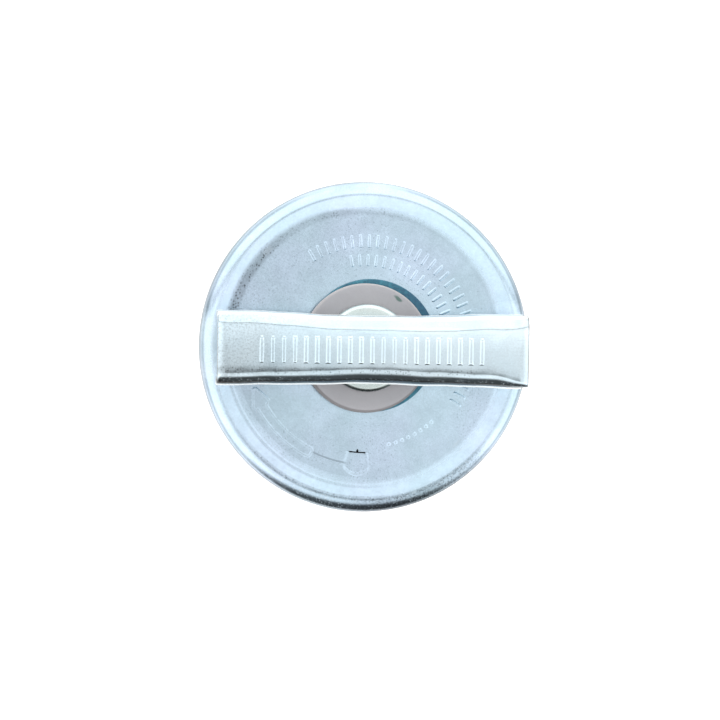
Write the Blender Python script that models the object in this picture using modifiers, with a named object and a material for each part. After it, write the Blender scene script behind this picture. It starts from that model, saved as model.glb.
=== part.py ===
# Oil filler cap with an expanding rubber plug.
# Turning the handle clockwise draws the stud and its clamp plate upwards. The plate
# squeezes the rubber plug, which swells and grips the inside of the filler neck.
# Metres, +Z up. The cap stands on its clamp plate and the stud's axis is Z.

import math

import bmesh
import bpy
from mathutils import Matrix

COLLECTION_NAME = "oil_filler_cap"

# Clearance between two pieces that rest on each other or sit in each other.
SEAT_GAP = 0.0003

# Rubber plug, for a filler neck of about 51 mm bore.
PLUG_RADIUS = 0.0246
PLUG_LENGTH = 0.0181
PLUG_FLANGE_WIDTH = 0.0054
PLUG_FLANGE_HEIGHT = 0.0030
PLUG_EDGE_RADIUS = 0.0005
PLUG_LEAD_IN = 0.0015
RELIEF_DEPTH = 0.0008
RELIEF_HEIGHT = 0.0014

# Stamped cover with a recessed floor, a raised rim and a skirt.
COVER_SHEET = 0.0012
NECK_RIM_SPACE = 0.0068
COVER_BEND_RADIUS = 0.0034
COVER_LAND_WIDTH = 0.0016
COVER_OGEE_WIDTH = 0.0031
COVER_RIM_RISE = 0.0004
COVER_SKIRT_DEPTH = 0.0065
COVER_HOLE_CLEARANCE = 0.0006

# Tab pressed down out of the cover's floor, which keys the rubber plug.
TAB_ANGLE = math.radians(-93.6)
TAB_ROOT_MARGIN = 0.0013
TAB_LENGTH = 0.0044
TAB_ROOT_WIDTH = 0.0052
TAB_FREE_WIDTH = 0.0038
TAB_DEPTH = 0.0013
TAB_SLIT = 0.0006

# Stud with a square neck under a round head, threaded 18 turns to the inch.
STUD_RADIUS = 0.00397
STUD_HEAD_RADIUS = 0.0080
STUD_HEAD_HEIGHT = 0.0026
STUD_NECK_WIDTH = 0.0080
STUD_END_SPREAD = 0.0006
STUD_END_HEIGHT = 0.0007
THREAD_PITCH = 0.0254 / 18
TIGHTEN_TURNS = 2.75

# Clamp plate, dished up in the middle so that the stud's head clears the ground.
PLATE_SHEET = 0.0016
PLATE_EDGE_MARGIN = 0.0026
DISH_RISE = 0.0040
DISH_WALL_RUN = 0.0055
DISH_CLEARANCE = 0.0008

# Two loose washers between the cover and the handle's hub.
SEAL_WASHER_RADIUS = 0.0149
SEAL_WASHER_HEIGHT = 0.0012
SEAL_WASHER_SHIFT = (0.00150, 0.00045)
THRUST_WASHER_RADIUS = 0.0146
THRUST_WASHER_HEIGHT = 0.0016
THRUST_WASHER_SHIFT = (0.00000, -0.00010)
WASHER_CHAMFER = 0.0003

# Handle nut: a round hub with a hexagon that the handle is pinched onto.
HUB_OVERHANG = 0.0027
HUB_HEIGHT = 0.0030
HUB_EDGE_RADIUS = 0.0011
NUT_WALL = 0.0012
NUT_HEX_HEIGHT = 0.0046

# Handle, an inverted channel stamped from sheet.
HANDLE_SHEET = 0.0015
HANDLE_LENGTH = 0.0697
HANDLE_END_SPREAD = 0.0006
HANDLE_SHOULDER_RADIUS = 0.0032
HANDLE_END_SHOULDER_RADIUS = 0.0024
HANDLE_LIP = 0.0004
HANDLE_LIP_HEIGHT = 0.0008
HANDLE_END_DROP = 0.0004
HANDLE_END_DROP_LENGTH = 0.0020
HANDLE_HEADROOM = 0.0004

# Number of flat facets round the turned pieces and of points on curved stretches.
COVER_STEPS = 64
PLUG_STEPS = 56
WASHER_STEPS = 48
STUD_STEPS = 32
ARC_POINTS = 5
HANDLE_STATIONS = 18

# Radii that follow from the sizes above.
BORE_RADIUS = STUD_RADIUS + SEAT_GAP
PLUG_FLANGE_RADIUS = PLUG_RADIUS + PLUG_FLANGE_WIDTH
COVER_RADIUS = PLUG_FLANGE_RADIUS + NECK_RIM_SPACE + COVER_SHEET
COVER_LAND_RADIUS = COVER_RADIUS - COVER_BEND_RADIUS
COVER_RIM_RADIUS = COVER_LAND_RADIUS - COVER_LAND_WIDTH
COVER_FLOOR_RADIUS = COVER_RIM_RADIUS - COVER_OGEE_WIDTH
COVER_HOLE_RADIUS = STUD_RADIUS + COVER_HOLE_CLEARANCE
TAB_ROOT_RADIUS = COVER_FLOOR_RADIUS - TAB_ROOT_MARGIN
TAB_FREE_RADIUS = TAB_ROOT_RADIUS - TAB_LENGTH
PLATE_RADIUS = PLUG_RADIUS - PLATE_EDGE_MARGIN
DISH_RADIUS = STUD_HEAD_RADIUS + DISH_CLEARANCE
SEAL_WASHER_HOLE = STUD_RADIUS + math.hypot(*SEAL_WASHER_SHIFT) + SEAT_GAP
THRUST_WASHER_HOLE = STUD_RADIUS + math.hypot(*THRUST_WASHER_SHIFT) + SEAT_GAP
NUT_HEX_HALF_WIDTH = BORE_RADIUS + NUT_WALL
HANDLE_WAIST_HALF_WIDTH = NUT_HEX_HALF_WIDTH + SEAT_GAP + HANDLE_SHEET
HANDLE_END_HALF_WIDTH = HANDLE_WAIST_HALF_WIDTH + HANDLE_END_SPREAD
HUB_RADIUS = HANDLE_WAIST_HALF_WIDTH + HUB_OVERHANG
STUD_END_RADIUS = STUD_RADIUS + STUD_END_SPREAD

# Heights above the ground, from the clamp plate up to the top of the handle.
STROKE = THREAD_PITCH * TIGHTEN_TURNS
DISH_UNDERSIDE = DISH_RISE
DISH_TOP = DISH_RISE + PLATE_SHEET
STUD_HEAD_TOP = DISH_UNDERSIDE - SEAT_GAP
PLUG_BOTTOM = PLATE_SHEET + SEAT_GAP
PLUG_TOP = PLUG_BOTTOM + PLUG_LENGTH
FLOOR_UNDERSIDE = PLUG_TOP + SEAT_GAP
FLOOR_TOP = FLOOR_UNDERSIDE + COVER_SHEET
RIM_TOP = FLOOR_TOP + COVER_RIM_RISE
SEAL_WASHER_BOTTOM = FLOOR_TOP + SEAT_GAP
THRUST_WASHER_BOTTOM = SEAL_WASHER_BOTTOM + SEAL_WASHER_HEIGHT + SEAT_GAP
HUB_BOTTOM = THRUST_WASHER_BOTTOM + THRUST_WASHER_HEIGHT + SEAT_GAP
HUB_TOP = HUB_BOTTOM + HUB_HEIGHT
NUT_TOP = HUB_TOP + NUT_HEX_HEIGHT
STUD_END_BOTTOM = NUT_TOP + SEAT_GAP
STUD_TOP = STUD_END_BOTTOM + STUD_END_HEIGHT
HANDLE_BOTTOM = HUB_TOP + SEAT_GAP
WEB_UNDERSIDE = STUD_TOP + STROKE + HANDLE_HEADROOM
HANDLE_TOP = WEB_UNDERSIDE + HANDLE_SHEET
HANDLE_DEPTH = HANDLE_TOP - HANDLE_BOTTOM
# The lip leans outwards, so the inner corner of its cut edge is the lowest.
HANDLE_LIP_TILT = HANDLE_SHEET * HANDLE_LIP / math.hypot(HANDLE_LIP, HANDLE_LIP_HEIGHT)

# How far a cutter reaches past the faces that it cuts.
CUT_MARGIN = 0.0010


def clear_scene():
    for obj in list(bpy.data.objects):
        bpy.data.objects.remove(obj, do_unlink=True)


def new_collection(name):
    collection = bpy.data.collections.new(name)
    bpy.context.scene.collection.children.link(collection)
    return collection


def make_material(name, colour, roughness, metallic):
    material = bpy.data.materials.new(name)
    material.use_nodes = True
    shader = material.node_tree.nodes["Principled BSDF"]
    shader.inputs["Base Color"].default_value = (*colour, 1.0)
    shader.inputs["Roughness"].default_value = roughness
    shader.inputs["Metallic"].default_value = metallic
    material.diffuse_color = (*colour, 1.0)
    return material


def link_mesh(name, mesh, collection):
    obj = bpy.data.objects.new(name, mesh)
    collection.objects.link(obj)
    return obj


def turned(name, profile, collection, steps, closed=True):
    """Turn (radius, height) points about Z; they run outwards, then down the outside."""
    count = len(profile)
    edges = [(i, i + 1) for i in range(count - 1)]
    if closed:
        edges.append((count - 1, 0))
    mesh = bpy.data.meshes.new(name)
    mesh.from_pydata([(radius, 0.0, height) for radius, height in profile], edges, [])
    obj = link_mesh(name, mesh, collection)
    screw = obj.modifiers.new("Turn", "SCREW")
    screw.axis = "Z"
    screw.angle = math.tau
    screw.steps = steps
    screw.render_steps = steps
    screw.use_merge_vertices = True
    screw.merge_threshold = 0.00001
    screw.use_smooth_shade = True
    return obj


def add_wall(obj, thickness):
    solidify = obj.modifiers.new("Wall", "SOLIDIFY")
    solidify.thickness = thickness
    solidify.offset = -1.0
    solidify.use_even_offset = True


def add_bevel(obj, width, segments):
    bevel = obj.modifiers.new("Edges", "BEVEL")
    bevel.width = width
    bevel.segments = segments
    bevel.limit_method = "ANGLE"
    bevel.angle_limit = math.radians(40)


def add_boolean(obj, other, operation):
    boolean = obj.modifiers.new(operation.title(), "BOOLEAN")
    boolean.object = other
    boolean.operation = operation
    boolean.solver = "EXACT"
    other.hide_render = True
    other.display_type = "WIRE"


def shade(obj):
    """Fix the modifiers' result in the mesh and shade its round faces smooth."""
    depsgraph = bpy.context.evaluated_depsgraph_get()
    mesh = bpy.data.meshes.new_from_object(obj.evaluated_get(depsgraph))
    obj.modifiers.clear()
    obj.data = mesh
    mesh.shade_smooth()
    mesh.set_sharp_from_angle(angle=math.radians(35))


def ogee(start, run, rise, points):
    """An S of two equal arcs, from start to run further out and rise further up."""
    turn = 2.0 * math.atan2(abs(rise), run)
    radius = run / (2.0 * math.sin(turn))
    up = math.copysign(1.0, rise)
    curve = []
    for i in range(1, points + 1):
        angle = turn * i / points
        sag = radius * (1.0 - math.cos(angle))
        curve.append((start[0] + radius * math.sin(angle), start[1] + up * sag))
    for i in range(points - 1, -1, -1):
        angle = turn * i / points
        sag = radius * (1.0 - math.cos(angle))
        curve.append((start[0] + run - radius * math.sin(angle), start[1] + rise - up * sag))
    return curve


def corner_arc(centre, radius, first, last, points):
    """Points of an arc about centre, from the first to the last angle in degrees."""
    angles = [math.radians(first + (last - first) * i / points) for i in range(points + 1)]
    return [(centre[0] + radius * math.cos(a), centre[1] + radius * math.sin(a)) for a in angles]


def block(name, size, collection):
    """A box of the given size about its own middle."""
    mesh = bpy.data.meshes.new(name)
    shape = bmesh.new()
    bmesh.ops.create_cube(shape, size=1.0)
    bmesh.ops.scale(shape, vec=size, verts=shape.verts)
    shape.to_mesh(mesh)
    shape.free()
    return link_mesh(name, mesh, collection)


def prism(name, sides, radius, height, collection):
    """A regular prism about Z, standing on its own origin, with two sides square to Y."""
    mesh = bpy.data.meshes.new(name)
    shape = bmesh.new()
    bmesh.ops.create_cone(
        shape, cap_ends=True, segments=sides, radius1=radius, radius2=radius, depth=height
    )
    bmesh.ops.translate(shape, vec=(0.0, 0.0, height / 2.0), verts=shape.verts)
    quarter_turn = Matrix.Rotation(math.pi / 2.0, 3, "Z")
    bmesh.ops.rotate(shape, cent=(0.0, 0.0, 0.0), matrix=quarter_turn, verts=shape.verts)
    shape.to_mesh(mesh)
    shape.free()
    return link_mesh(name, mesh, collection)


def tab_wedge(name, side, top, free_bottom, root_bottom, collection):
    """The pressed tab's form, its free end towards the axis and side wider all round."""
    wedge = block(name, (1.0, 1.0, 1.0), collection)
    for vert in wedge.data.vertices:
        at_root = vert.co.x > 0.0
        at_top = vert.co.z > 0.0
        half_width = (TAB_ROOT_WIDTH if at_root else TAB_FREE_WIDTH) / 2.0 + side
        bottom = root_bottom if at_root else free_bottom
        vert.co.x = TAB_ROOT_RADIUS if at_root else TAB_FREE_RADIUS
        vert.co.y = math.copysign(half_width, vert.co.y)
        vert.co.z = top if at_top else bottom
    wedge.rotation_euler.z = TAB_ANGLE
    return wedge


def make_cover(parts, cutters):
    """Stamped cover: floor, ogee up to the rim, rolled edge and skirt, with the tab."""
    floor_edge = (COVER_FLOOR_RADIUS, FLOOR_TOP)
    bend_centre = (COVER_LAND_RADIUS, RIM_TOP - COVER_BEND_RADIUS)
    profile = [(COVER_HOLE_RADIUS, FLOOR_TOP), floor_edge]
    profile += ogee(floor_edge, COVER_OGEE_WIDTH, COVER_RIM_RISE, 3)
    profile += corner_arc(bend_centre, COVER_BEND_RADIUS, 90, 0, ARC_POINTS)
    profile.append((COVER_RADIUS, RIM_TOP - COVER_SKIRT_DEPTH))
    cover = turned("cover", profile, parts, COVER_STEPS, closed=False)
    add_wall(cover, COVER_SHEET)

    sheet_middle = FLOOR_TOP - COVER_SHEET / 2.0
    form = tab_wedge(
        "tab_form", COVER_SHEET / 2.0, sheet_middle,
        FLOOR_UNDERSIDE - TAB_DEPTH, FLOOR_UNDERSIDE + SEAT_GAP, cutters,
    )
    pocket = tab_wedge(
        "tab_pocket", 0.0, FLOOR_TOP + CUT_MARGIN,
        FLOOR_TOP - TAB_DEPTH, FLOOR_TOP - TAB_DEPTH / 10.0, cutters,
    )
    slit_height = COVER_SHEET + TAB_DEPTH + 2.0 * CUT_MARGIN
    slit = block("tab_slit", (TAB_SLIT, TAB_FREE_WIDTH, slit_height), cutters)
    slit_radius = TAB_FREE_RADIUS - TAB_SLIT / 2.0 + SEAT_GAP / 2.0
    slit.location = (
        slit_radius * math.cos(TAB_ANGLE),
        slit_radius * math.sin(TAB_ANGLE),
        FLOOR_TOP + CUT_MARGIN - slit_height / 2.0,
    )
    slit.rotation_euler.z = TAB_ANGLE
    add_boolean(cover, form, "UNION")
    add_boolean(cover, pocket, "DIFFERENCE")
    add_boolean(cover, slit, "DIFFERENCE")
    return cover


def make_rubber_plug(parts, cutters):
    """Moulded plug: flange with a chamfered root, relief groove, barrel and dish seat."""
    flange_bottom = PLUG_TOP - PLUG_FLANGE_HEIGHT
    edge = PLUG_FLANGE_RADIUS - PLUG_EDGE_RADIUS
    relief_radius = PLUG_RADIUS - RELIEF_DEPTH
    relief_bottom = flange_bottom - RELIEF_HEIGHT
    profile = [(BORE_RADIUS, PLUG_TOP)]
    profile += corner_arc((edge, PLUG_TOP - PLUG_EDGE_RADIUS), PLUG_EDGE_RADIUS, 90, 0, 2)
    profile += corner_arc((edge, flange_bottom + PLUG_EDGE_RADIUS), PLUG_EDGE_RADIUS, 0, -90, 2)
    profile += [
        (PLUG_RADIUS + SEAT_GAP, flange_bottom),
        (relief_radius, flange_bottom - RELIEF_DEPTH),
        (relief_radius, relief_bottom),
        (PLUG_RADIUS, relief_bottom - RELIEF_DEPTH),
        (PLUG_RADIUS, PLUG_BOTTOM + PLUG_LEAD_IN),
        (PLUG_RADIUS - PLUG_LEAD_IN, PLUG_BOTTOM),
    ]
    dish = [(DISH_RADIUS, DISH_TOP)] + ogee((DISH_RADIUS, DISH_TOP), DISH_WALL_RUN, -DISH_RISE, 3)
    profile += [(radius + SEAT_GAP, height + SEAT_GAP) for radius, height in reversed(dish)]
    profile.append((BORE_RADIUS, DISH_TOP + SEAT_GAP))
    plug = turned("rubber_plug", profile, parts, PLUG_STEPS)

    reach = TAB_LENGTH + TAB_SLIT + 2.0 * SEAT_GAP
    width = TAB_ROOT_WIDTH + COVER_SHEET + 2.0 * SEAT_GAP
    depth = TAB_DEPTH + CUT_MARGIN
    pocket = block("key_pocket", (reach, width, depth), cutters)
    radius = TAB_ROOT_RADIUS + SEAT_GAP - reach / 2.0
    bottom = FLOOR_UNDERSIDE - TAB_DEPTH - SEAT_GAP
    pocket.location = (
        radius * math.cos(TAB_ANGLE), radius * math.sin(TAB_ANGLE), bottom + depth / 2.0
    )
    pocket.rotation_euler.z = TAB_ANGLE
    add_boolean(plug, pocket, "DIFFERENCE")
    return plug


def make_clamp_plate(parts, cutters):
    """Dished steel plate with a square hole for the stud's neck."""
    profile = [(STUD_NECK_WIDTH / 4.0, DISH_TOP), (DISH_RADIUS, DISH_TOP)]
    profile += ogee((DISH_RADIUS, DISH_TOP), DISH_WALL_RUN, -DISH_RISE, 3)
    profile.append((PLATE_RADIUS, PLATE_SHEET))
    plate = turned("clamp_plate", profile, parts, PLUG_STEPS, closed=False)
    add_wall(plate, PLATE_SHEET)

    hole_width = STUD_NECK_WIDTH + 2.0 * SEAT_GAP
    hole = block("neck_hole", (hole_width, hole_width, PLATE_SHEET + 2.0 * CUT_MARGIN), cutters)
    hole.location.z = DISH_UNDERSIDE + PLATE_SHEET / 2.0
    add_boolean(plate, hole, "DIFFERENCE")
    return plate


def make_stud(parts, cutters):
    """Round head, square neck, plain shank for the thread, and a staked top end."""
    chamfer = STUD_END_SPREAD / 2.0
    profile = [
        (0.0, STUD_TOP),
        (STUD_END_RADIUS - chamfer, STUD_TOP),
        (STUD_END_RADIUS, STUD_TOP - chamfer),
        (STUD_END_RADIUS, STUD_END_BOTTOM),
        (STUD_RADIUS, STUD_END_BOTTOM),
        (STUD_RADIUS, STUD_HEAD_TOP),
        (STUD_HEAD_RADIUS, STUD_HEAD_TOP),
    ]
    rim_height = STUD_HEAD_HEIGHT / 4.0
    dome_height = STUD_HEAD_HEIGHT - rim_height
    for i in range(ARC_POINTS + 1):
        angle = math.pi / 2.0 * i / ARC_POINTS
        radius = STUD_HEAD_RADIUS * math.cos(angle)
        height = STUD_HEAD_TOP - rim_height - dome_height * math.sin(angle)
        profile.append((0.0 if i == ARC_POINTS else radius, height))
    stud = turned("stud", profile, parts, STUD_STEPS, closed=False)

    overlap = STUD_HEAD_HEIGHT / 4.0
    neck_height = DISH_TOP - STUD_HEAD_TOP + overlap
    neck = block("square_neck", (STUD_NECK_WIDTH, STUD_NECK_WIDTH, neck_height), cutters)
    neck.location.z = DISH_TOP - neck_height / 2.0
    add_boolean(stud, neck, "UNION")
    return stud


def make_washer(name, radius, hole, bottom, height, shift, parts):
    """Flat ring with chamfered edges, lying off centre by shift."""
    top = bottom + height
    profile = [(hole, top), (radius, top), (radius, bottom), (hole, bottom)]
    washer = turned(name, profile, parts, WASHER_STEPS)
    add_bevel(washer, WASHER_CHAMFER, 1)
    shade(washer)
    washer.location = (shift[0], shift[1], 0.0)
    return washer


def make_handle_nut(parts, cutters):
    """Round hub and hexagon in one piece, bored for the stud."""
    hub_edge = (HUB_RADIUS - HUB_EDGE_RADIUS, HUB_TOP - HUB_EDGE_RADIUS)
    profile = [(0.0, HUB_TOP)]
    profile += corner_arc(hub_edge, HUB_EDGE_RADIUS, 90, 0, 4)
    profile += [(HUB_RADIUS, HUB_BOTTOM), (0.0, HUB_BOTTOM)]
    nut = turned("handle_nut", profile, parts, WASHER_STEPS, closed=False)

    overlap = HUB_HEIGHT / 2.0
    hexagon_radius = NUT_HEX_HALF_WIDTH / math.cos(math.pi / 6.0)
    hexagon = prism("nut_hexagon", 6, hexagon_radius, NUT_HEX_HEIGHT + overlap, cutters)
    hexagon.location.z = HUB_TOP - overlap
    bore = prism(
        "nut_bore", STUD_STEPS, BORE_RADIUS, NUT_TOP - HUB_BOTTOM + 2.0 * CUT_MARGIN, cutters
    )
    bore.location.z = HUB_BOTTOM - CUT_MARGIN
    add_boolean(nut, hexagon, "UNION")
    add_boolean(nut, bore, "DIFFERENCE")
    return nut


def handle_section(spread, drop):
    """One side of the channel, from the web down to its lip, as (width, depth) points."""
    half_width = HANDLE_WAIST_HALF_WIDTH + HANDLE_END_SPREAD * spread
    shoulder = HANDLE_SHOULDER_RADIUS
    shoulder += (HANDLE_END_SHOULDER_RADIUS - HANDLE_SHOULDER_RADIUS) * spread
    section = corner_arc((half_width - shoulder, -shoulder - drop), shoulder, 90, 0, ARC_POINTS)
    lip_end = HANDLE_LIP_TILT - HANDLE_DEPTH
    section.append((half_width, lip_end + HANDLE_LIP_HEIGHT))
    section.append((half_width + HANDLE_LIP, lip_end))
    return section


def make_handle(parts):
    """Inverted channel, pinched to a waist at the nut and open at both ends."""
    shape = bmesh.new()
    rows = []
    for station in range(HANDLE_STATIONS + 1):
        along = -math.cos(math.pi * station / HANDLE_STATIONS)
        distance = abs(along)
        spread = distance * distance * (3.0 - 2.0 * distance)
        past = distance * HANDLE_LENGTH / 2.0 - (HANDLE_LENGTH / 2.0 - HANDLE_END_DROP_LENGTH)
        drop = HANDLE_END_DROP * (max(past, 0.0) / HANDLE_END_DROP_LENGTH) ** 2
        side = handle_section(spread, drop)
        points = [(-width, depth) for width, depth in reversed(side)] + side
        x = along * HANDLE_LENGTH / 2.0
        rows.append([shape.verts.new((x, y, HANDLE_TOP + z)) for y, z in points])
    for row, following in zip(rows, rows[1:]):
        for i in range(len(row) - 1):
            shape.faces.new((row[i], following[i], following[i + 1], row[i + 1]))
    bmesh.ops.recalc_face_normals(shape, faces=shape.faces)
    top_face = max(shape.faces, key=lambda face: face.calc_center_median().z)
    if top_face.normal.z < 0.0:
        bmesh.ops.reverse_faces(shape, faces=shape.faces)
    mesh = bpy.data.meshes.new("handle")
    shape.to_mesh(mesh)
    shape.free()
    handle = link_mesh("handle", mesh, parts)
    add_wall(handle, HANDLE_SHEET)
    return handle


def make_axis(name, location, collection):
    empty = bpy.data.objects.new(name, None)
    empty.empty_display_size = COVER_RADIUS / 4.0
    empty.location = location
    collection.objects.link(empty)
    return empty


def carry(axis, pieces):
    """Parent pieces to the empty on their joint's axis, keeping them where they are."""
    bpy.context.view_layer.update()
    for piece in pieces:
        piece.parent = axis
        piece.matrix_parent_inverse = axis.matrix_world.inverted()


def main():
    clear_scene()
    parts = new_collection(COLLECTION_NAME)
    cutters = new_collection("cutters")

    zinc = make_material("bright_zinc", (0.62, 0.71, 0.77), 0.28, 1.0)
    handle_zinc = make_material("handle_zinc", (0.70, 0.77, 0.80), 0.22, 1.0)
    nut_zinc = make_material("nut_zinc", (0.64, 0.70, 0.69), 0.35, 1.0)
    grey_steel = make_material("grey_steel", (0.39, 0.40, 0.43), 0.60, 0.6)
    teal_fibre = make_material("teal_fibre", (0.05, 0.23, 0.28), 0.55, 0.0)
    black_rubber = make_material("black_rubber", (0.02, 0.02, 0.02), 0.80, 0.0)
    plate_zinc = make_material("plate_zinc", (0.60, 0.66, 0.70), 0.35, 1.0)
    stud_zinc = make_material("stud_zinc", (0.60, 0.64, 0.66), 0.35, 1.0)

    cover = make_cover(parts, cutters)
    plug = make_rubber_plug(parts, cutters)
    plate = make_clamp_plate(parts, cutters)
    stud = make_stud(parts, cutters)
    nut = make_handle_nut(parts, cutters)
    handle = make_handle(parts)
    for piece in (cover, plug, plate, stud, nut, handle):
        shade(piece)
    seal_washer = make_washer(
        "seal_washer", SEAL_WASHER_RADIUS, SEAL_WASHER_HOLE,
        SEAL_WASHER_BOTTOM, SEAL_WASHER_HEIGHT, SEAL_WASHER_SHIFT, parts,
    )
    thrust_washer = make_washer(
        "thrust_washer", THRUST_WASHER_RADIUS, THRUST_WASHER_HOLE,
        THRUST_WASHER_BOTTOM, THRUST_WASHER_HEIGHT, THRUST_WASHER_SHIFT, parts,
    )

    finishes = {
        cover: zinc,
        handle: handle_zinc,
        nut: nut_zinc,
        thrust_washer: grey_steel,
        seal_washer: teal_fibre,
        plug: black_rubber,
        plate: plate_zinc,
        stud: stud_zinc,
    }
    for piece, material in finishes.items():
        piece.data.materials.clear()
        piece.data.materials.append(material)

    handle_axis = make_axis("handle_axis", (0.0, 0.0, HUB_BOTTOM), parts)
    stud_axis = make_axis("stud_axis", (0.0, 0.0, 0.0), parts)
    carry(handle_axis, (handle, nut))
    carry(stud_axis, (stud, plate))


main()
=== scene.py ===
import math

import bmesh
import bpy
import numpy as np
from bpy.props import FloatProperty, FloatVectorProperty, IntProperty, PointerProperty
from bpy.types import Operator, Panel, PropertyGroup
from mathutils import Matrix, Vector


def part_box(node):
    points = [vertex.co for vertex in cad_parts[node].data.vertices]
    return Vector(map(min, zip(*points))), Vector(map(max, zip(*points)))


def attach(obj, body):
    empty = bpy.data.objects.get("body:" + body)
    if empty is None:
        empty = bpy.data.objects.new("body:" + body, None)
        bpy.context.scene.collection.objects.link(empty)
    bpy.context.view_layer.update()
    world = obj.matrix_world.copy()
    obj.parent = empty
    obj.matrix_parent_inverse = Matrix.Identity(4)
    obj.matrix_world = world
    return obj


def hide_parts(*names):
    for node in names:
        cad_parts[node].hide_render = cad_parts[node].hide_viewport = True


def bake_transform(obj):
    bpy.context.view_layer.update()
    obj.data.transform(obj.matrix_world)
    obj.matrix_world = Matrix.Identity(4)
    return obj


bl_info = {
    "name": "Oil Filler Cap",
    "version": (1, 0, 0),
    "blender": (4, 5, 0),
    "location": "View3D > Sidebar > Filler Cap",
    "description": "Makes and finishes an oil filler cap's pieces and sets them on a pale stage",
    "category": "Object",
}

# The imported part, in metres: +Z up along the stud, +X along the handle.
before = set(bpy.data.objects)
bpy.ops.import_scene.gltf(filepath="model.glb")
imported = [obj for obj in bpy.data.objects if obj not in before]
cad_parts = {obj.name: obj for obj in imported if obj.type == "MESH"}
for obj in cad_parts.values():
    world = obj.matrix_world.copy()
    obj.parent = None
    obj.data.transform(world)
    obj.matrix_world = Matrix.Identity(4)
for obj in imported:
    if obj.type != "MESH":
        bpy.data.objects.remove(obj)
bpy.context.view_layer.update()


def outer(node):
    """Middle, half width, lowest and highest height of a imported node."""
    low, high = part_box(node)
    middle = (low + high) / 2.0
    return middle, (high.x - low.x) / 2.0, low.z, high.z


COVER = outer("cover")
HANDLE = outer("handle")
NUT = outer("handle_nut")
THRUST = outer("thrust_washer")
SEAL = outer("seal_washer")
PLUG = outer("rubber_plug")
PLATE = outer("clamp_plate")
STUD = outer("stud")


# Kinds of settings: lengths in metres, turns given in degrees, colours, amounts and counts.

def length(name, description, default):
    return FloatProperty(
        name=name, description=description, default=default, precision=5, unit="LENGTH"
    )


def turn(name, description, degrees):
    return FloatProperty(
        name=name, description=description, default=math.radians(degrees), unit="ROTATION"
    )


def tint(name, description, default):
    return FloatVectorProperty(
        name=name, description=description, default=default, size=3, min=0.0, max=1.0,
        subtype="COLOR",
    )


def amount(name, description, default):
    return FloatProperty(name=name, description=description, default=default, min=0.0)


def number(name, description, default):
    return IntProperty(name=name, description=description, default=default, min=1)


class CoverSettings(PropertyGroup):
    sheet: length("Sheet", "Thickness of the cover's sheet", 0.0012)
    bend_radius: length("Bend", "Outer radius of the rolled edge", 0.0034)
    land_radius: length("Land", "Radius where the edge starts to roll over", 0.0346)
    rim_radius: length("Rim", "Radius where the step up to the rim ends", 0.0330)
    floor_radius: length("Floor", "Radius of the flat floor", 0.0299)
    rim_rise: length("Rim rise", "Height of the rim above the floor", 0.0004)
    step: length("Step", "Visible step from the floor to the land", 0.00006)
    hole_radius: length("Hole", "Radius of the hole for the stud", 0.00457)
    tab_angle: turn("Tab angle", "Direction of the pressed tab from the axis", -93.6)
    tab_free_radius: length("Tab free end", "Radius of the tab's free end", 0.02428)
    tab_root_radius: length("Tab root", "Radius of the tab's root", 0.0286)
    tab_free_width: length("Tab end width", "Width of the tab at its free end", 0.0037)
    tab_root_width: length("Tab root width", "Width of the tab at its root", 0.0046)
    tab_depth: length("Tab depth", "Drop of the tab's free end", 0.00015)
    tab_heel: length("Tab heel", "Drop of the tab's root", 0.00012)
    tab_slit: length("Tab slit", "Width of the slit at the tab's free end", 0.00031)
    zinc: tint("Zinc", "Colour of the bright plating", (0.510, 0.660, 0.760))
    bloom: tint("Bloom", "Colour of the plating's violet bloom", (0.535, 0.652, 0.785))
    roughness: amount("Roughness", "Roughness of the plating", 0.20)


class MarkSettings(PropertyGroup):
    bar_width: length("Bar width", "Width of a raised bar on the cover", 0.00078)
    rise: length("Rise", "Height of the marks above the cover's floor", 0.00010)
    outer_radius: length("Outer row", "Radius of the outer row's middle", 0.0244)
    outer_bar: length("Outer bar", "Length of a bar in the outer row", 0.0031)
    outer_count: number("Outer count", "Bars in the outer row", 34)
    outer_start: turn("Outer start", "Direction of the outer row's first bar", 121.0)
    inner_radius: length("Inner row", "Radius of the inner row's middle", 0.0200)
    inner_bar: length("Inner bar", "Length of a bar in the inner row", 0.0028)
    inner_count: number("Inner count", "Bars in the inner row", 16)
    inner_start: turn("Inner start", "Direction of the inner row's first bar", 100.0)
    pitch: turn("Pitch", "Angle from one bar of the outer row to the next", -4.6)
    inner_pitch: turn("Inner pitch", "Angle from one bar of the inner row to the next", -5.4)
    pip_radius: length("Pip row", "Radius of the row of pips", 0.0229)
    pip_width: length("Pip width", "Width of a pip", 0.00115)
    pip_count: number("Pip count", "Pips in the row", 8)
    pip_start: turn("Pip start", "Direction of the first pip", -75.5)
    pip_pitch: turn("Pip pitch", "Angle from one pip to the next", 4.0)
    arrow_radius: length("Arrow radius", "Radius of the turning arrow's middle line", 0.0272)
    arrow_tail: turn("Arrow tail", "Direction where the arrow's thin tail starts", -99.8)
    arrow_start: turn("Arrow body", "Direction where the arrow's broad body starts", -116.5)
    arrow_neck: turn("Arrow neck", "Direction where the arrow's head starts", -150.0)
    arrow_tip: turn("Arrow tip", "Direction of the arrow's tip", -160.5)
    arrow_width: length("Arrow width", "Width of the arrow's body", 0.0021)
    arrow_head: length("Arrow head", "Width of the arrow's head", 0.0044)
    arrow_line: length("Arrow line", "Width of the arrow's raised outline", 0.00085)


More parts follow.
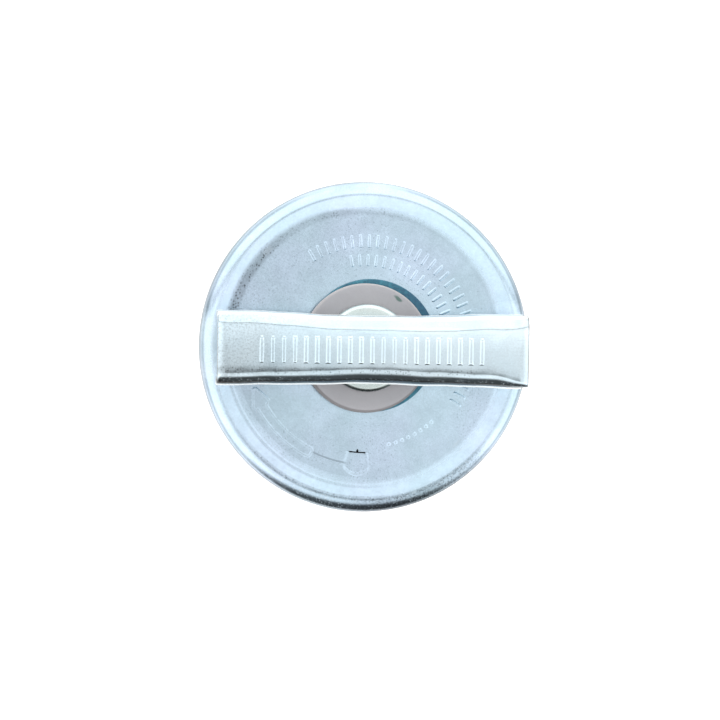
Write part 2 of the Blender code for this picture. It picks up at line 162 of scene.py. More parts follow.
class HandleSettings(PropertyGroup):
    sheet: length("Sheet", "Thickness of the handle's sheet", 0.0015)
    waist: length("Waist", "Half width at the nut", 0.00727)
    end_spread: length("End spread", "How much wider each side is at the ends", 0.0006)
    shoulder: length("Shoulder", "Radius along the edges of the top", 0.0032)
    end_shoulder: length("End shoulder", "Radius along the edges at the ends", 0.0026)
    lip: length("Lip", "How far the lower edges flare out", 0.0004)
    lip_offset: length("Lip offset", "How much more the front edge flares", 0.0002)
    set_off: length("Set off", "How far the handle sits off its nut", -0.00025)
    set_along: length("Set along", "How far the handle sits off its nut lengthwise", 0.0004)
    crown_radius: length("Crown", "Radius of the top's slight crown", 0.085)
    left_edge: length("Left edge", "Radius of the left end's upper edge", 0.00040)
    right_edge: length("Right edge", "Radius of the right end's upper edge", 0.00018)
    lip_height: length("Lip height", "Height of the flare", 0.0008)
    end_drop: length("End drop", "How far the ends are dressed down", 0.0004)
    end_drop_length: length("End drop length", "Length of the dressed ends", 0.0020)
    rib_count: number("Rib count", "Raised grip ribs across the top", 21)
    rib_start: length("First rib", "Place of the first rib along the handle", -0.0250)
    rib_pitch: length("Rib pitch", "Distance from one rib to the next", 0.00246)
    rib_length: length("Rib length", "Length of a rib across the handle", 0.0062)
    rib_width: length("Rib width", "Width of a rib", 0.00115)
    rib_rise: length("Rib rise", "Height of a rib above the top", 0.00015)
    zinc: tint("Zinc", "Colour of the bright plating", (0.600, 0.740, 0.817))
    bloom: tint("Bloom", "Colour of the plating's pale bloom", (0.652, 0.765, 0.826))
    roughness: amount("Roughness", "Roughness of the plating", 0.13)


class NutSettings(PropertyGroup):
    hub_height: length("Hub height", "Height of the round hub", 0.0030)
    hub_edge: length("Hub edge", "Radius of the hub's upper edge", 0.0011)
    bore: length("Bore", "Radius of the threaded bore", 0.00427)
    half_width: length("Half width", "Half the distance across the hexagon's flats", 0.00547)
    zinc: tint("Zinc", "Colour of the satin plating", (0.630, 0.705, 0.690))
    bloom: tint("Bloom", "Colour of the plating's green bloom", (0.575, 0.665, 0.645))
    roughness: amount("Roughness", "Roughness of the plating", 0.27)


class WasherSettings(PropertyGroup):
    thrust_hole: length("Thrust hole", "Radius of the grey washer's hole", 0.00437)
    seal_hole: length("Seal hole", "Radius of the teal washer's hole", 0.00584)
    thrust_wider: length("Thrust wider", "Swell of the grey washer's rim", 0.00015)
    thrust_left: length("Thrust left", "How far the grey washer lies to the left", 0.0002)
    seal_wider: length("Seal wider", "Swell of the teal washer's rim", 0.0003)
    seal_left: length("Seal left", "How far the teal washer lies to the left", 0.0004)
    edge: length("Edge", "Radius of the washers' edges", 0.00028)
    grey: tint("Grey", "Colour of the thrust washer", (0.340, 0.337, 0.355))
    stain: tint("Stain", "Colour of the stain on the thrust washer", (0.06, 0.13, 0.11))
    teal: tint("Teal", "Colour of the seal washer", (0.036, 0.190, 0.255))
    teal_dark: tint("Dark teal", "Colour of the seal washer's fibres", (0.016, 0.095, 0.150))


class PlugSettings(PropertyGroup):
    barrel: length("Barrel", "Radius of the plug's barrel", 0.0246)
    flange_height: length("Flange height", "Height of the sealing flange", 0.0030)
    relief_depth: length("Relief depth", "Depth of the groove under the flange", 0.0008)
    relief_height: length("Relief height", "Height of the groove under the flange", 0.0014)
    lead_in: length("Lead-in", "Chamfer at the plug's lower edge", 0.0015)
    bore: length("Bore", "Radius of the hole for the stud", 0.00427)
    seam: length("Seam", "Height of the moulding seam on the barrel", 0.00012)
    rubber: tint("Rubber", "Colour of the rubber", (0.018, 0.018, 0.019))
    dust: tint("Dust", "Colour of the mould dust on the rubber", (0.085, 0.085, 0.08))


class ClampSettings(PropertyGroup):
    sheet: length("Sheet", "Thickness of the plate", 0.0016)
    dish_radius: length("Dish", "Radius of the dish's flat top", 0.0088)
    dish_run: length("Dish wall", "Width of the dish's wall", 0.0055)
    hole: length("Hole", "Half the width of the plate's square hole", 0.0043)
    neck: length("Neck", "Half the width of the stud's square neck", 0.0040)
    head_radius: length("Head", "Radius of the stud's head", 0.0080)
    head_height: length("Head height", "Height of the stud's head", 0.0026)
    shank: length("Shank", "Radius of the stud over its thread", 0.00397)
    core: length("Core", "Radius of the stud under its thread", 0.00318)
    pitch: length("Pitch", "Rise of the thread in one turn", 0.0254 / 18.0)
    end_radius: length("End", "Radius of the stud's staked end", 0.00457)
    end_height: length("End height", "Height of the stud's staked end", 0.0007)
    zinc: tint("Zinc", "Colour of the plating", (0.540, 0.610, 0.645))
    bloom: tint("Bloom", "Colour of the plating's straw bloom", (0.625, 0.610, 0.505))
    roughness: amount("Roughness", "Roughness of the plating", 0.30)


class StageSettings(PropertyGroup):
    floor_size: length("Floor", "Width of the floor", 4.0)
    floor_colour: tint("Floor colour", "Colour of the floor", (0.90, 0.90, 0.90))
    distance: length("Distance", "From the camera to the cover's rim", 0.600)
    width_in_view: length("Width in view", "What the picture's width shows there", 0.1648)
    lean_left: turn("Lean left", "How far the camera stands to the left", 4.94)
    lean_back: turn("Lean back", "How far the camera stands towards the top", 1.48)
    roll: turn("Roll", "How far the handle is turned in the picture", 0.75)
    right: length("Right", "Cover's middle right of the picture's", 0.00128)
    up: length("Up", "Cover's middle above the picture's", 0.00288)
    sky: amount("Sky", "Strength of the light tent", 1.84)
    lamp: amount("Lamp", "Watts of each soft lamp", 0.9)


class FillerCapSettings(PropertyGroup):
    cover: PointerProperty(type=CoverSettings)
    marks: PointerProperty(type=MarkSettings)
    handle: PointerProperty(type=HandleSettings)
    nut: PointerProperty(type=NutSettings)
    washers: PointerProperty(type=WasherSettings)
    plug: PointerProperty(type=PlugSettings)
    clamp: PointerProperty(type=ClampSettings)
    stage: PointerProperty(type=StageSettings)


# Lines and rows that the pieces are turned or drawn from.

def smooth(value):
    """0 below 0, 1 above 1 and an even S in between."""
    t = np.clip(value, 0.0, 1.0)
    return t * t * (3.0 - 2.0 * t)


def arc(centre, radius, first, last, count):
    """Points of an arc from the first to the last angle in degrees, both included."""
    angles = np.radians(np.linspace(first, last, count + 1))
    return [(centre[0] + radius * math.cos(a), centre[1] + radius * math.sin(a)) for a in angles]


def ogee(start, run, rise, count):
    """An S of two equal arcs, without its first point."""
    bend = 2.0 * math.atan2(abs(rise), run)
    radius = run / (2.0 * math.sin(bend))
    up = math.copysign(1.0, rise)
    points = []
    for i in range(1, 2 * count + 1):
        angle = bend * min(i, 2 * count - i) / count
        along, sag = radius * math.sin(angle), radius * (1.0 - math.cos(angle))
        if i <= count:
            points.append((start[0] + along, start[1] + up * sag))
        else:
            points.append((start[0] + run - along, start[1] + rise - up * sag))
    return points


def rounded(corners, count=4):
    """A closed line of (x, y, radius) corners with each corner rounded by its radius."""
    line = []
    for i, (x, y, radius) in enumerate(corners):
        here = np.array((x, y))
        back = np.array(corners[i - 1][:2]) - here
        ahead = np.array(corners[(i + 1) % len(corners)][:2]) - here
        reach = min(np.linalg.norm(back), np.linalg.norm(ahead)) * 0.49
        back, ahead = back / np.linalg.norm(back), ahead / np.linalg.norm(ahead)
        half = math.acos(np.clip(np.dot(back, ahead), -1.0, 1.0)) / 2.0
        if radius <= 0.0 or half > 1.55:
            line.append((x, y))
            continue
        radius = min(radius, reach * math.tan(half))
        middle = here + (back + ahead) / np.linalg.norm(back + ahead) * radius / math.sin(half)
        first = here + back * radius / math.tan(half) - middle
        last = here + ahead * radius / math.tan(half) - middle
        for share in np.linspace(0.0, 1.0, count + 1):
            spoke = first * math.sin((1.0 - share) * (math.pi / 2.0 - half) * 2.0 + 1e-9)
            spoke = spoke + last * math.sin(share * (math.pi / 2.0 - half) * 2.0 + 1e-9)
            line.append(tuple(middle + spoke / np.linalg.norm(spoke) * radius))
    return line


def under_side(line, thickness):
    """The line that lies a sheet's thickness to the right of another."""
    points = np.array(line)
    step = np.gradient(points, axis=0)
    step /= np.linalg.norm(step, axis=1)[:, None]
    return points - thickness * np.stack((-step[:, 1], step[:, 0]), axis=1)


def cut_edge(top, under, ahead, radius, count=3):
    """Points round a sheet's cut edge, from its top to its under side."""
    top, under, ahead = np.array(top), np.array(under), np.array(ahead, float)
    across = (under - top) / np.linalg.norm(under - top)
    ahead /= np.linalg.norm(ahead)
    points = []
    angles = [math.pi / 2.0 * i / count for i in range(1, count + 1)]
    for a in angles:
        points.append(top + ahead * radius * math.sin(a) + across * radius * (1.0 - math.cos(a)))
    for a in reversed(angles):
        points.append(under + ahead * radius * math.sin(a) - across * radius * (1.0 - math.cos(a)))
    return points


def flats(half_width, sides, angles, corner):
    """Radius of a regular outline with rounded corners, flat sides square to Y."""
    share = 2.0 * math.pi / sides
    offset = share / 2.0 if sides == 4 else 0.0
    slant = np.mod(angles + offset, share) - share / 2.0
    return np.minimum(half_width / np.cos(slant), corner)


def even_angles(count):
    """Angles an even step apart through a whole turn."""
    return np.linspace(0.0, 2.0 * math.pi, count, endpoint=False)


def with_rest(near, count):
    """Close angles with wider ones through the rest of the turn."""
    return np.concatenate((near, np.linspace(near[-1], near[0] + 2.0 * math.pi, count)[1:-1]))


# Meshes.

def new_piece(name, points, faces, finish, sharp=32.0):
    """A closed mesh object in the row frame, smooth shaded and facing outwards."""
    mesh = bpy.data.meshes.new(name)
    mesh.from_pydata([tuple(map(float, p)) for p in points], [], faces)
    shape = bmesh.new()
    shape.from_mesh(mesh)
    loose = [v for v in shape.verts if not v.link_faces]
    bmesh.ops.delete(shape, geom=loose, context="VERTS")
    bmesh.ops.recalc_face_normals(shape, faces=shape.faces)
    shape.to_mesh(mesh)
    shape.free()
    mesh.shade_smooth()
    mesh.set_sharp_from_angle(angle=math.radians(sharp))
    mesh.materials.append(finish)
    piece = bpy.data.objects.new(name, mesh)
    bpy.context.scene.collection.objects.link(piece)
    return piece


def turned(rows, angles, middle=(0.0, 0.0), closed=True, left_out=()):
    """Points and faces of rows turned about Z. A row is (radius, height), each one number
    or one for each angle, and a row of no radius is a pole."""
    points, rings = [], []
    count = len(angles)
    for radius, height in rows:
        if np.max(radius) < 1e-7:
            rings.append([len(points)] * count)
            points.append((middle[0], middle[1], float(np.mean(height))))
            continue
        rings.append(list(range(len(points), len(points) + count)))
        x = middle[0] + radius * np.cos(angles)
        y = middle[1] + radius * np.sin(angles)
        points.extend(zip(x, y, np.broadcast_to(height, (count,))))
    pairs = list(zip(rings, rings[1:]))
    if closed:
        pairs.append((rings[-1], rings[0]))
    faces = []
    for i, (ring, following) in enumerate(pairs):
        for j in range(count):
            k = (j + 1) % count
            if (i, j) in left_out:
                continue
            face = list(dict.fromkeys((ring[j], ring[k], following[k], following[j])))
            faces.append(face)
    return points, faces, rings


def carry(piece, body, node):
    """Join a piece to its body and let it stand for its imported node."""
    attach(piece, body)
    if node:
        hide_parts(node)


# Nodes.

def add_node(tree, kind, inputs=None, **settings):
    """A node with its settings, and its inputs linked or set by name or place."""
    node = tree.nodes.new(kind)
    for key, value in settings.items():
        setattr(node, key, value)
    fill(tree, node, inputs or {})
    return node


def fill(tree, node, inputs):
    """Link or set a node's inputs."""
    for key, value in inputs.items():
        if isinstance(value, Value):
            value = value.socket
        if isinstance(value, bpy.types.NodeSocket):
            tree.links.new(value, node.inputs[key])
        else:
            node.inputs[key].default_value = value


def made(tree, kind, inputs=None, output=0, **settings):
    """What a new node gives at one of its outputs."""
    return Value(tree, add_node(tree, kind, inputs, **settings).outputs[output])


class Value:
    """What a node gives. A number takes the usual signs of arithmetic."""

    def __init__(self, tree, socket):
        self.tree, self.socket = tree, socket

    def math(self, operation, *others):
        inputs = dict(enumerate((self, *others)))
        return made(self.tree, "ShaderNodeMath", inputs, operation=operation)

    def __add__(self, other):
        return self.math("ADD", other)

    def __sub__(self, other):
        return self.math("SUBTRACT", other)

    def __rsub__(self, other):
        return self.math("MULTIPLY_ADD", -1.0, other)

    def __mul__(self, other):
        return self.math("MULTIPLY", other)

    def __truediv__(self, other):
        return self.math("DIVIDE", other)

    __radd__, __rmul__ = __add__, __mul__

    def size(self):
        """How far it is from zero."""
        return self.math("ABSOLUTE")

    def root(self):
        return self.math("SQRT")

    def fade(self, first, last):
        """0 up to the first value and 1 from the last, with an even S in between."""
        limits = {"Value": self, "From Min": first, "From Max": last}
        return made(
            self.tree, "ShaderNodeMapRange", limits, interpolation_type="SMOOTHSTEP")

    def fall(self, first, last):
        """1 up to the first value and 0 from the last."""
        return 1.0 - self.fade(first, last)

    def band(self, middle, half_width, soft):
        """1 within half_width of the middle, fading to 0 over soft."""
        return (self - middle).size().fall(half_width, half_width + soft)

    def ramp(self, *stops):
        """A ramp through (position, grey) or (position, colour) stops."""
        node = add_node(self.tree, "ShaderNodeValToRGB", {0: self})
        elements = node.color_ramp.elements
        while len(elements) < len(stops):
            elements.new(0.5)
        for element, (position, value) in zip(elements, stops):
            element.position = position
            element.color = (*value, 1.0) if isinstance(value, tuple) else (value,) * 3 + (1.0,)
        return Value(self.tree, node.outputs[0])

    def mix(self, first, second):
        """The first colour where this is 0 and the second where it is 1."""
        first, second = (c if isinstance(c, Value) else (*c, 1.0) for c in (first, second))
        return made(
            self.tree, "ShaderNodeMix", {0: self, 6: first, 7: second}, 2, data_type="RGBA")

    def of(self, colour):
        """A colour as many times as bright as this says."""
        if not isinstance(colour, Value):
            colour = tuple(colour)
        return made(
            self.tree, "ShaderNodeVectorMath", {0: colour, "Scale": self}, operation="SCALE")


def parts(tree, whole):
    """The X, Y and Z of a vector."""
    node = add_node(tree, "ShaderNodeSeparateXYZ", {0: whole})
    return [Value(tree, output) for output in node.outputs]


def vector(tree, x, y, z):
    """A vector of three numbers."""
    return made(tree, "ShaderNodeCombineXYZ", {0: x, 1: y, 2: z})


class Finish:
    """A new material with its shader, and the places that its patterns follow."""

    def __init__(self, name):
        self.material = bpy.data.materials.new(name)
        self.material.use_nodes = True
        self.tree = self.material.node_tree
        self.place = made(self.tree, "ShaderNodeTexCoord", output="Object")
        self.x, self.y, self.z = parts(self.tree, self.place)
        self.radius = (self.x * self.x + self.y * self.y).root()

    def noise(self, scale, detail=2.0, roughness=0.5, stretch=None):
        """Clouds from 0 to 1, in strokes along the axes that are stretched by a small number."""
        place = self.place
        if stretch:
            place = made(self.tree, "ShaderNodeMapping", {"Vector": place, "Scale": stretch})
        return made(self.tree, "ShaderNodeTexNoise", {
            "Vector": place, "Scale": scale, "Detail": detail, "Roughness": roughness}, "Fac")

    def specks(self, scale, share):
        """Separate round specks on a given share of the cells."""
        cells = add_node(self.tree, "ShaderNodeTexVoronoi", {"Vector": self.place, "Scale": scale})
        chance = made(self.tree, "ShaderNodeSeparateColor", {0: cells.outputs["Color"]})
        dot = Value(self.tree, cells.outputs["Distance"]).fall(0.22, 0.50)
        return chance.math("LESS_THAN", share) * dot

    def towards(self, x, y, first, last, reach=None):
        """How far a place lies to one side of the axis, faded between two shares of reach."""
        lean = self.x * x + self.y * y
        return (lean / (self.radius if reach is None else reach)).fade(first, last)

    def edges(self, first, last, most):
        """Up to the most along the sharp edges."""
        sharp = made(self.tree, "ShaderNodeNewGeometry", output="Pointiness")
        return sharp.ramp((first, 0.0), (last, most))

    def finish(self, relief, height, strength=1.0, **inputs):
        """Set the shader's sockets and its fine relief, and give the material."""
        shader = self.tree.nodes["Principled BSDF"]
        inputs["Normal"] = made(self.tree, "ShaderNodeBump", {
            "Strength": strength, "Distance": height, "Height": relief})
        fill(self.tree, shader, {key.replace("_", " "): value for key, value in inputs.items()})
        return self.material


# White of the zinc powder and of the painted highlights that use it.
POWDER_AND_HIGHLIGHT_WHITE = (0.86, 0.88, 0.87)
RUBBED_ZINC = (0.76, 0.83, 0.86)


def plated(name, look, mottle, speckle, ripple, lengthwise=False, worn=0.25, shade=None,
           haze=None, powder_and_highlight=None):
    """Zinc plating: spangled crystals, bloom, specks, scratches and bright edges. A shade
    scales its colour with dirt, painted shade and painted highlights, a haze dulls it, and a
    powder whitens it with white powder and painted highlights where there is a shade too."""
    zinc = Finish(name)
    crystals = zinc.noise(560.0, 5.0, 0.72)
    dust = zinc.noise(2300.0, 2.0, 0.6)
    bloom = zinc.noise(62.0).ramp((0.38, 0.0), (0.66, 1.0))
    grain = (1.0 + 1.6 * mottle * (zinc.noise(95.0, 3.0) - 0.5)
             + 2.0 * mottle * (crystals - 0.5) + 2.0 * speckle * (dust - 0.5))
    # The shade's factor carries dirt, painted shade and painted highlights.
    soil_and_shade = shade(zinc) if shade else 1.0
    bright = zinc.edges(0.515, 0.60, worn)
    base = bright.mix((grain * soil_and_shade).of(bloom.mix(look.zinc, look.bloom)), RUBBED_ZINC)

    stretch = (0.05, 1.0, 1.0) if lengthwise else (1.0, 0.07, 1.0)
    scratches = zinc.noise(2600.0, 2.0, 0.5, stretch).ramp((0.60, 0.0), (0.72, 1.0))
    dull = look.roughness * (0.55 + 0.9 * crystals) + 0.10 * scratches - 0.12 * bright
    if haze:
        dull += haze(zinc)
    metal = 1.0
    # Powder and painted highlights whiten the colour and take the metal away.
    if powder_and_highlight:
        white = powder_and_highlight(zinc)
        base = white.mix(base, soil_and_shade.of(POWDER_AND_HIGHLIGHT_WHITE))
        metal = 1.0 - white
        dull += 0.45 * white
    return zinc.finish(crystals + 0.25 * dust - 0.12 * scratches, ripple,
                       Base_Color=base, Metallic=metal, Roughness=dull)


# Cover.

def tab_drop(cover, radius, angles):
    """How far the pressed tab lowers the cover's sheet, at one radius and all angles."""
    along = radius * np.cos(angles - cover.tab_angle)
    side = np.abs(radius * np.sin(angles - cover.tab_angle))
    reach = (along - cover.tab_free_radius) / (cover.tab_root_radius - cover.tab_free_radius)
    reach = np.clip(reach, 0.0, 1.0)
    swell = smooth(reach * 1.4)
    half = (cover.tab_free_width + (cover.tab_root_width - cover.tab_free_width) * swell) / 2.0
    depth = cover.tab_depth + (cover.tab_heel - cover.tab_depth) * reach
    flank = 0.00105
    inside = smooth((half + flank - side) / flank)
    free = smooth((along - cover.tab_free_radius) / cover.tab_slit + 1.0)
    corner = 0.0009 * (side / half) ** 2  # Rounds the root's corners off.
    root = smooth((cover.tab_root_radius + flank - corner - along) / flank)
    return -depth * inside * free * root


def make_cover(cover):
    """Stamped sheet: floor, step, rim, rolled edge and skirt, with the pressed tab."""
    _, radius, low, high = COVER
    edge = 0.0002
    fine_from, tab_from, tab_to = 0.0226, 0.0220, cover.floor_radius - 0.0001
    floor = high - cover.rim_rise
    land = floor + cover.step
    slit_in = cover.tab_free_radius - cover.tab_slit
    radii = np.concatenate((
        np.linspace(cover.hole_radius + edge, fine_from, 9)[:-1],
        np.linspace(fine_from, slit_in, 8)[:-1],
        np.linspace(slit_in, cover.tab_free_radius, 5)[:-1],
        np.linspace(cover.tab_free_radius, cover.floor_radius, 38),
    ))
    line = [(r, floor) for r in radii]
    line += ogee(line[-1], cover.rim_radius - cover.floor_radius, cover.step, 10)
    line += [((cover.rim_radius + cover.land_radius) / 2.0, land)]
    line += arc((cover.land_radius, land - cover.bend_radius), cover.bend_radius, 90, 0, 24)
    line += [(radius, z) for z in np.linspace(line[-1][1], low + edge, 7)[1:]]
    under = under_side(line, cover.sheet)
    skirt = cut_edge(line[-1], under[-1], (0.0, -1.0), edge)
    hole = cut_edge(under[0], line[0], (-1.0, 0.0), edge)
    section = list(line) + skirt + [tuple(p) for p in reversed(under)] + hole

    # The points lie close together round the tab.
    near = np.radians(np.linspace(-8.4, 8.4, 57)) + cover.tab_angle
    angles = with_rest(near, 218)
    rows = [(r, z + tab_drop(cover, r, angles) if tab_from < r < tab_to else z)
            for r, z in section]

    count, bend = len(line), len(skirt)
    slit_rows = [i for i in range(count - 1)
                 if slit_in - 1e-7 < line[i][0] < cover.tab_free_radius - 1e-7]
    # Half widths of what is cut: the slit, and a small notch that points at the axis.
    cut = {i: cover.tab_free_width / 2.0 for i in slit_rows}
    cut.update({slit_rows[0] - 3 + step: 0.00010 * (step + 1) for step in range(3)})
    middles = (near[:-1] + near[1:]) / 2.0 - cover.tab_angle
    cells = {(i, j) for i, half_width in cut.items() for j, a in enumerate(middles)
             if abs(a) * line[i][0] < half_width}

    def below(i):
        return 2 * count + bend - 1 - i

    left_out = cells | {(below(i + 1), j) for i, j in cells}
    points, faces, rings = turned(rows, angles, left_out=left_out)
    for i, j in cells:
        for ni, nj, (a, b) in (
            (i - 1, j, ((i, j), (i, j + 1))), (i + 1, j, ((i + 1, j), (i + 1, j + 1))),
            (i, j - 1, ((i, j), (i + 1, j))), (i, j + 1, ((i, j + 1), (i + 1, j + 1))),
        ):
            if (ni, nj) not in cells:
                faces.append((rings[a[0]][a[1]], rings[b[0]][b[1]],
                              rings[below(b[0])][b[1]], rings[below(a[0])][a[1]]))

    finish = plated("bright_cover_zinc", cover, 0.09, 0.12, 0.000010, worn=0.10,
                    shade=cover_shade, haze=cover_haze, powder_and_highlight=cover_powder_and_light)
    return new_piece("cover_shell", points, faces, finish)


def cover_haze(zinc):
    """Roughness that the hand-worn land has more than the floor."""
    return 0.16 * zinc.radius.band(0.0334, 0.0006, 0.0012)


def cover_powder_and_light(zinc):
    """White zinc powder in specks along the front edge, and painted light on the land beside the
    handle's end.
    """
    # Painted light that lifts the shade beside the handle's left end.
    painted_light_by_handle_end = zinc.y.band(-0.0004, 0.0050, 0.0040) * zinc.x.band(-0.0352, 0.0010, 0.0018)
    front = zinc.towards(0.0, -1.0, 0.55, 0.80) * zinc.radius.fade(0.0342, 0.0350)
    return 0.16 * (painted_light_by_handle_end + front * zinc.specks(2300.0, 0.55))


# Rings of painted shade on the cover, one ring of painted highlight, some with dirt specks:
# radius, half width and soft edge in metres, then the direction in which each lies and the
# shares between which it fades in, then how much it darkens the plating everywhere (a
# negative amount lightens it) and how much more in specks.
COVER_PAINTED_LIGHT_RINGS = (
    (0.0313, 0.0004, 0.0006, -0.50, 0.87, 0.45, 0.85, 0.08, 0.20),  # Painted shade at the step's foot, with dirt specks.
    (0.0316, 0.0009, 0.0008, -0.91, 0.41, 0.86, 0.97, 0.17, 0.26),  # Wider painted shade beside it, with dirt specks.
    (0.0350, 0.0001, 0.0003, 0.10, 0.99, 0.20, 0.80, 0.16, 0.0),  # Painted shade line in the crease above the roll.
    (0.0320, 0.00015, 0.00035, -0.80, -0.60, 0.30, 0.95, 0.24, 0.0),  # Painted shade line on the land.
    (0.0304, 0.0003, 0.0005, -0.74, -0.68, 0.50, 0.95, -0.12, 0.0),  # Painted highlight low on the step.
    (0.02685, 0.00012, 0.00022, -0.30, -0.954, 0.986, 0.992, 0.34, 0.0),  # Painted shadow beside the arrow's tail.
    (0.0347, 0.0003, 0.0004, -0.34, -0.94, 0.80, 0.96, 0.26, 0.34),  # Painted shade in the fold, with dirt specks.
)
# Sides of the floor that are darker: direction, shares between which they fade in, darkening.
DARKER_FLOOR_SIDES = ((0.80, 0.60, 0.68, 0.93, 0.08), (-0.77, -0.63, 0.80, 0.97, 0.05))


def cover_shade(zinc):
    """Land painted brighter as a painted reflection, a darker speckled patch on the floor,
    rings of painted shade and highlight with dirt specks, and darker floor sides.
    """
    land = zinc.radius - 0.0014 * zinc.towards(-0.80, 0.60, 0.55, 0.92)
    land = land.fade(0.0306, 0.0318)
    floor = 1.0 - land
    roll = zinc.radius.fade(0.0345, 0.0352)
    # Painted reflection: the land's colour is made brighter than the floor's.
    shade = 1.0 + 0.22 * (land - roll)
    for scale, depth in ((330.0, 0.16), (130.0, 0.20)):
        shade += depth * (zinc.noise(scale) - 0.5)
    flecks = zinc.noise(2100.0, 3.0, 0.75).ramp((0.46, 0.0), (0.66, 1.0))
    patch = zinc.towards(-0.80, 0.60, 0.05, 0.85, 0.030)
    shade -= patch * floor * (0.10 + 0.13 * flecks)
    spots = zinc.specks(1900.0, 0.50)
    # Each ring adds painted shade, or painted highlight where its darkening is negative.
    for radius, half_width, soft, x, y, first, last, dark, spotted in COVER_PAINTED_LIGHT_RINGS:
        ring = zinc.radius.band(radius, half_width, soft) * zinc.towards(x, y, first, last)
        shade -= ring * (dark + spotted * spots)
    for x, y, first, last, dark in DARKER_FLOOR_SIDES:
        outer_floor = zinc.radius.fade(0.0190, 0.0260) * floor
        shade -= dark * zinc.towards(x, y, first, last) * outer_floor
    grit = zinc.specks(2100.0, zinc.noise(70.0).ramp((0.46, 0.0), (0.68, 0.42)))
    shade -= 0.16 * grit * floor
    scuff = roll * zinc.towards(0.40, -0.92, 0.84, 0.98)
    return shade - scuff * (0.32 + 0.42 * flecks)


def ridge(path, width, rise, sink, closed):
    """Points and faces of a low raised line with soft flanks that follows a flat path."""
    path = np.array(path)
    if closed:
        step = np.roll(path, -1, axis=0) - np.roll(path, 1, axis=0)
    else:
        step = np.gradient(path, axis=0)
    step /= np.linalg.norm(step, axis=1)[:, None]
    side = np.stack((-step[:, 1], step[:, 0]), axis=1)
    across = np.linspace(-1.0, 1.0, 7)
    section = [(a * width / 2.0, rise * (1.0 - a * a) ** 2 - 0.00001) for a in across]
    section += [(width / 2.0, -sink), (-width / 2.0, -sink)]
    count = len(section)
    points, faces = [], []
    for k, (p, n) in enumerate(zip(path, side)):
        taper = 1.0
        if not closed:
            taper = smooth(min(k, len(path) - 1 - k) / 3.0 + 0.15)
        for offset, height in section:
            tall = height if height < 0.0 else height * taper
            points.append((p[0] + n[0] * offset * taper, p[1] + n[1] * offset * taper, tall))
    loops = len(path) if closed else len(path) - 1
    for k in range(loops):
        m = (k + 1) % len(path)
        for i in range(count):
            j = (i + 1) % count
            faces.append((k * count + i, k * count + j, m * count + j, m * count + i))
    if not closed:
        faces.append(tuple(range(count)))
        last = (len(path) - 1) * count
        faces.append(tuple(range(last, last + count)))
    return points, faces


def arrow_outline(marks):
    """Flat outline of the curved turning arrow, with its corners rounded."""
    corners = []
    half = marks.arrow_width / 2.0
    head = marks.arrow_head / 2.0
    body = np.linspace(marks.arrow_start, marks.arrow_neck, 14)

    def spot(angle, offset, radius):
        r = marks.arrow_radius + offset
        return (r * math.cos(angle), r * math.sin(angle), radius)

    corners += [spot(a, half, 0.0006 if i in (0, 13) else 0.0) for i, a in enumerate(body)]
    corners.append(spot(marks.arrow_neck, head, 0.0004))
    corners.append(spot(marks.arrow_tip, 0.0, 0.0005))
    corners.append(spot(marks.arrow_neck, -head, 0.0004))
    corners += [spot(a, -half, 0.0006 if i in (0, 13) else 0.0)
                for i, a in enumerate(reversed(body))]
    return rounded(corners, 5)


def even_path(path, step):
    """The same closed path with its points an even step apart."""
    path = np.array(list(path) + [path[0]])
    run = np.concatenate(([0.0], np.cumsum(np.linalg.norm(np.diff(path, axis=0), axis=1))))
    places = np.linspace(0.0, run[-1], max(8, int(run[-1] / step)), endpoint=False)
    return np.stack([np.interp(places, run, path[:, i]) for i in range(2)], axis=1)


def make_arrow(cover, marks, finish):
    """Raised outline of the turning arrow, with its thin tail."""
    floor = COVER[3] - cover.rim_rise
    outline = even_path(arrow_outline(marks), 0.00022)
    points, faces = ridge(outline, marks.arrow_line, marks.rise * 0.7, 0.0004, True)
    tail = [(marks.arrow_radius * math.cos(a), marks.arrow_radius * math.sin(a))
            for a in np.linspace(marks.arrow_tail, marks.arrow_start - 0.004, 30)]
    more, more_faces = ridge(tail, marks.arrow_line * 0.75, marks.rise * 0.4, 0.0004, False)
    faces += [tuple(i + len(points) for i in face) for face in more_faces]
    points = [(x, y, z + floor) for x, y, z in points + more]
    return new_piece("turning_arrow", points, faces, finish, 60.0)


# Node trees for what repeats.

def new_tree(name, *labels):
    """A Geometry Nodes tree and its named inputs."""
    tree = bpy.data.node_groups.new(name, "GeometryNodeTree")
    kinds = {"Count": "Int", "Points along": "Int", "Material": "Material"}
    for label in labels:
        tree.interface.new_socket(
            name=label, in_out="INPUT", socket_type="NodeSocket" + kinds.get(label, "Float"))
    tree.interface.new_socket(name="Geometry", in_out="OUTPUT", socket_type="NodeSocketGeometry")
    given = add_node(tree, "NodeGroupInput").outputs
    return tree, {socket.name: Value(tree, socket) for socket in given}


def end_tree(tree, geometry, material):
    """Make the instances real, give them their material and hand them out."""
    solid = made(tree, "GeometryNodeRealizeInstances", {"Geometry": geometry})
    finished = made(tree, "GeometryNodeSetMaterial", {"Geometry": solid, "Material": material})
    add_node(tree, "NodeGroupOutput", {0: finished})
    return tree


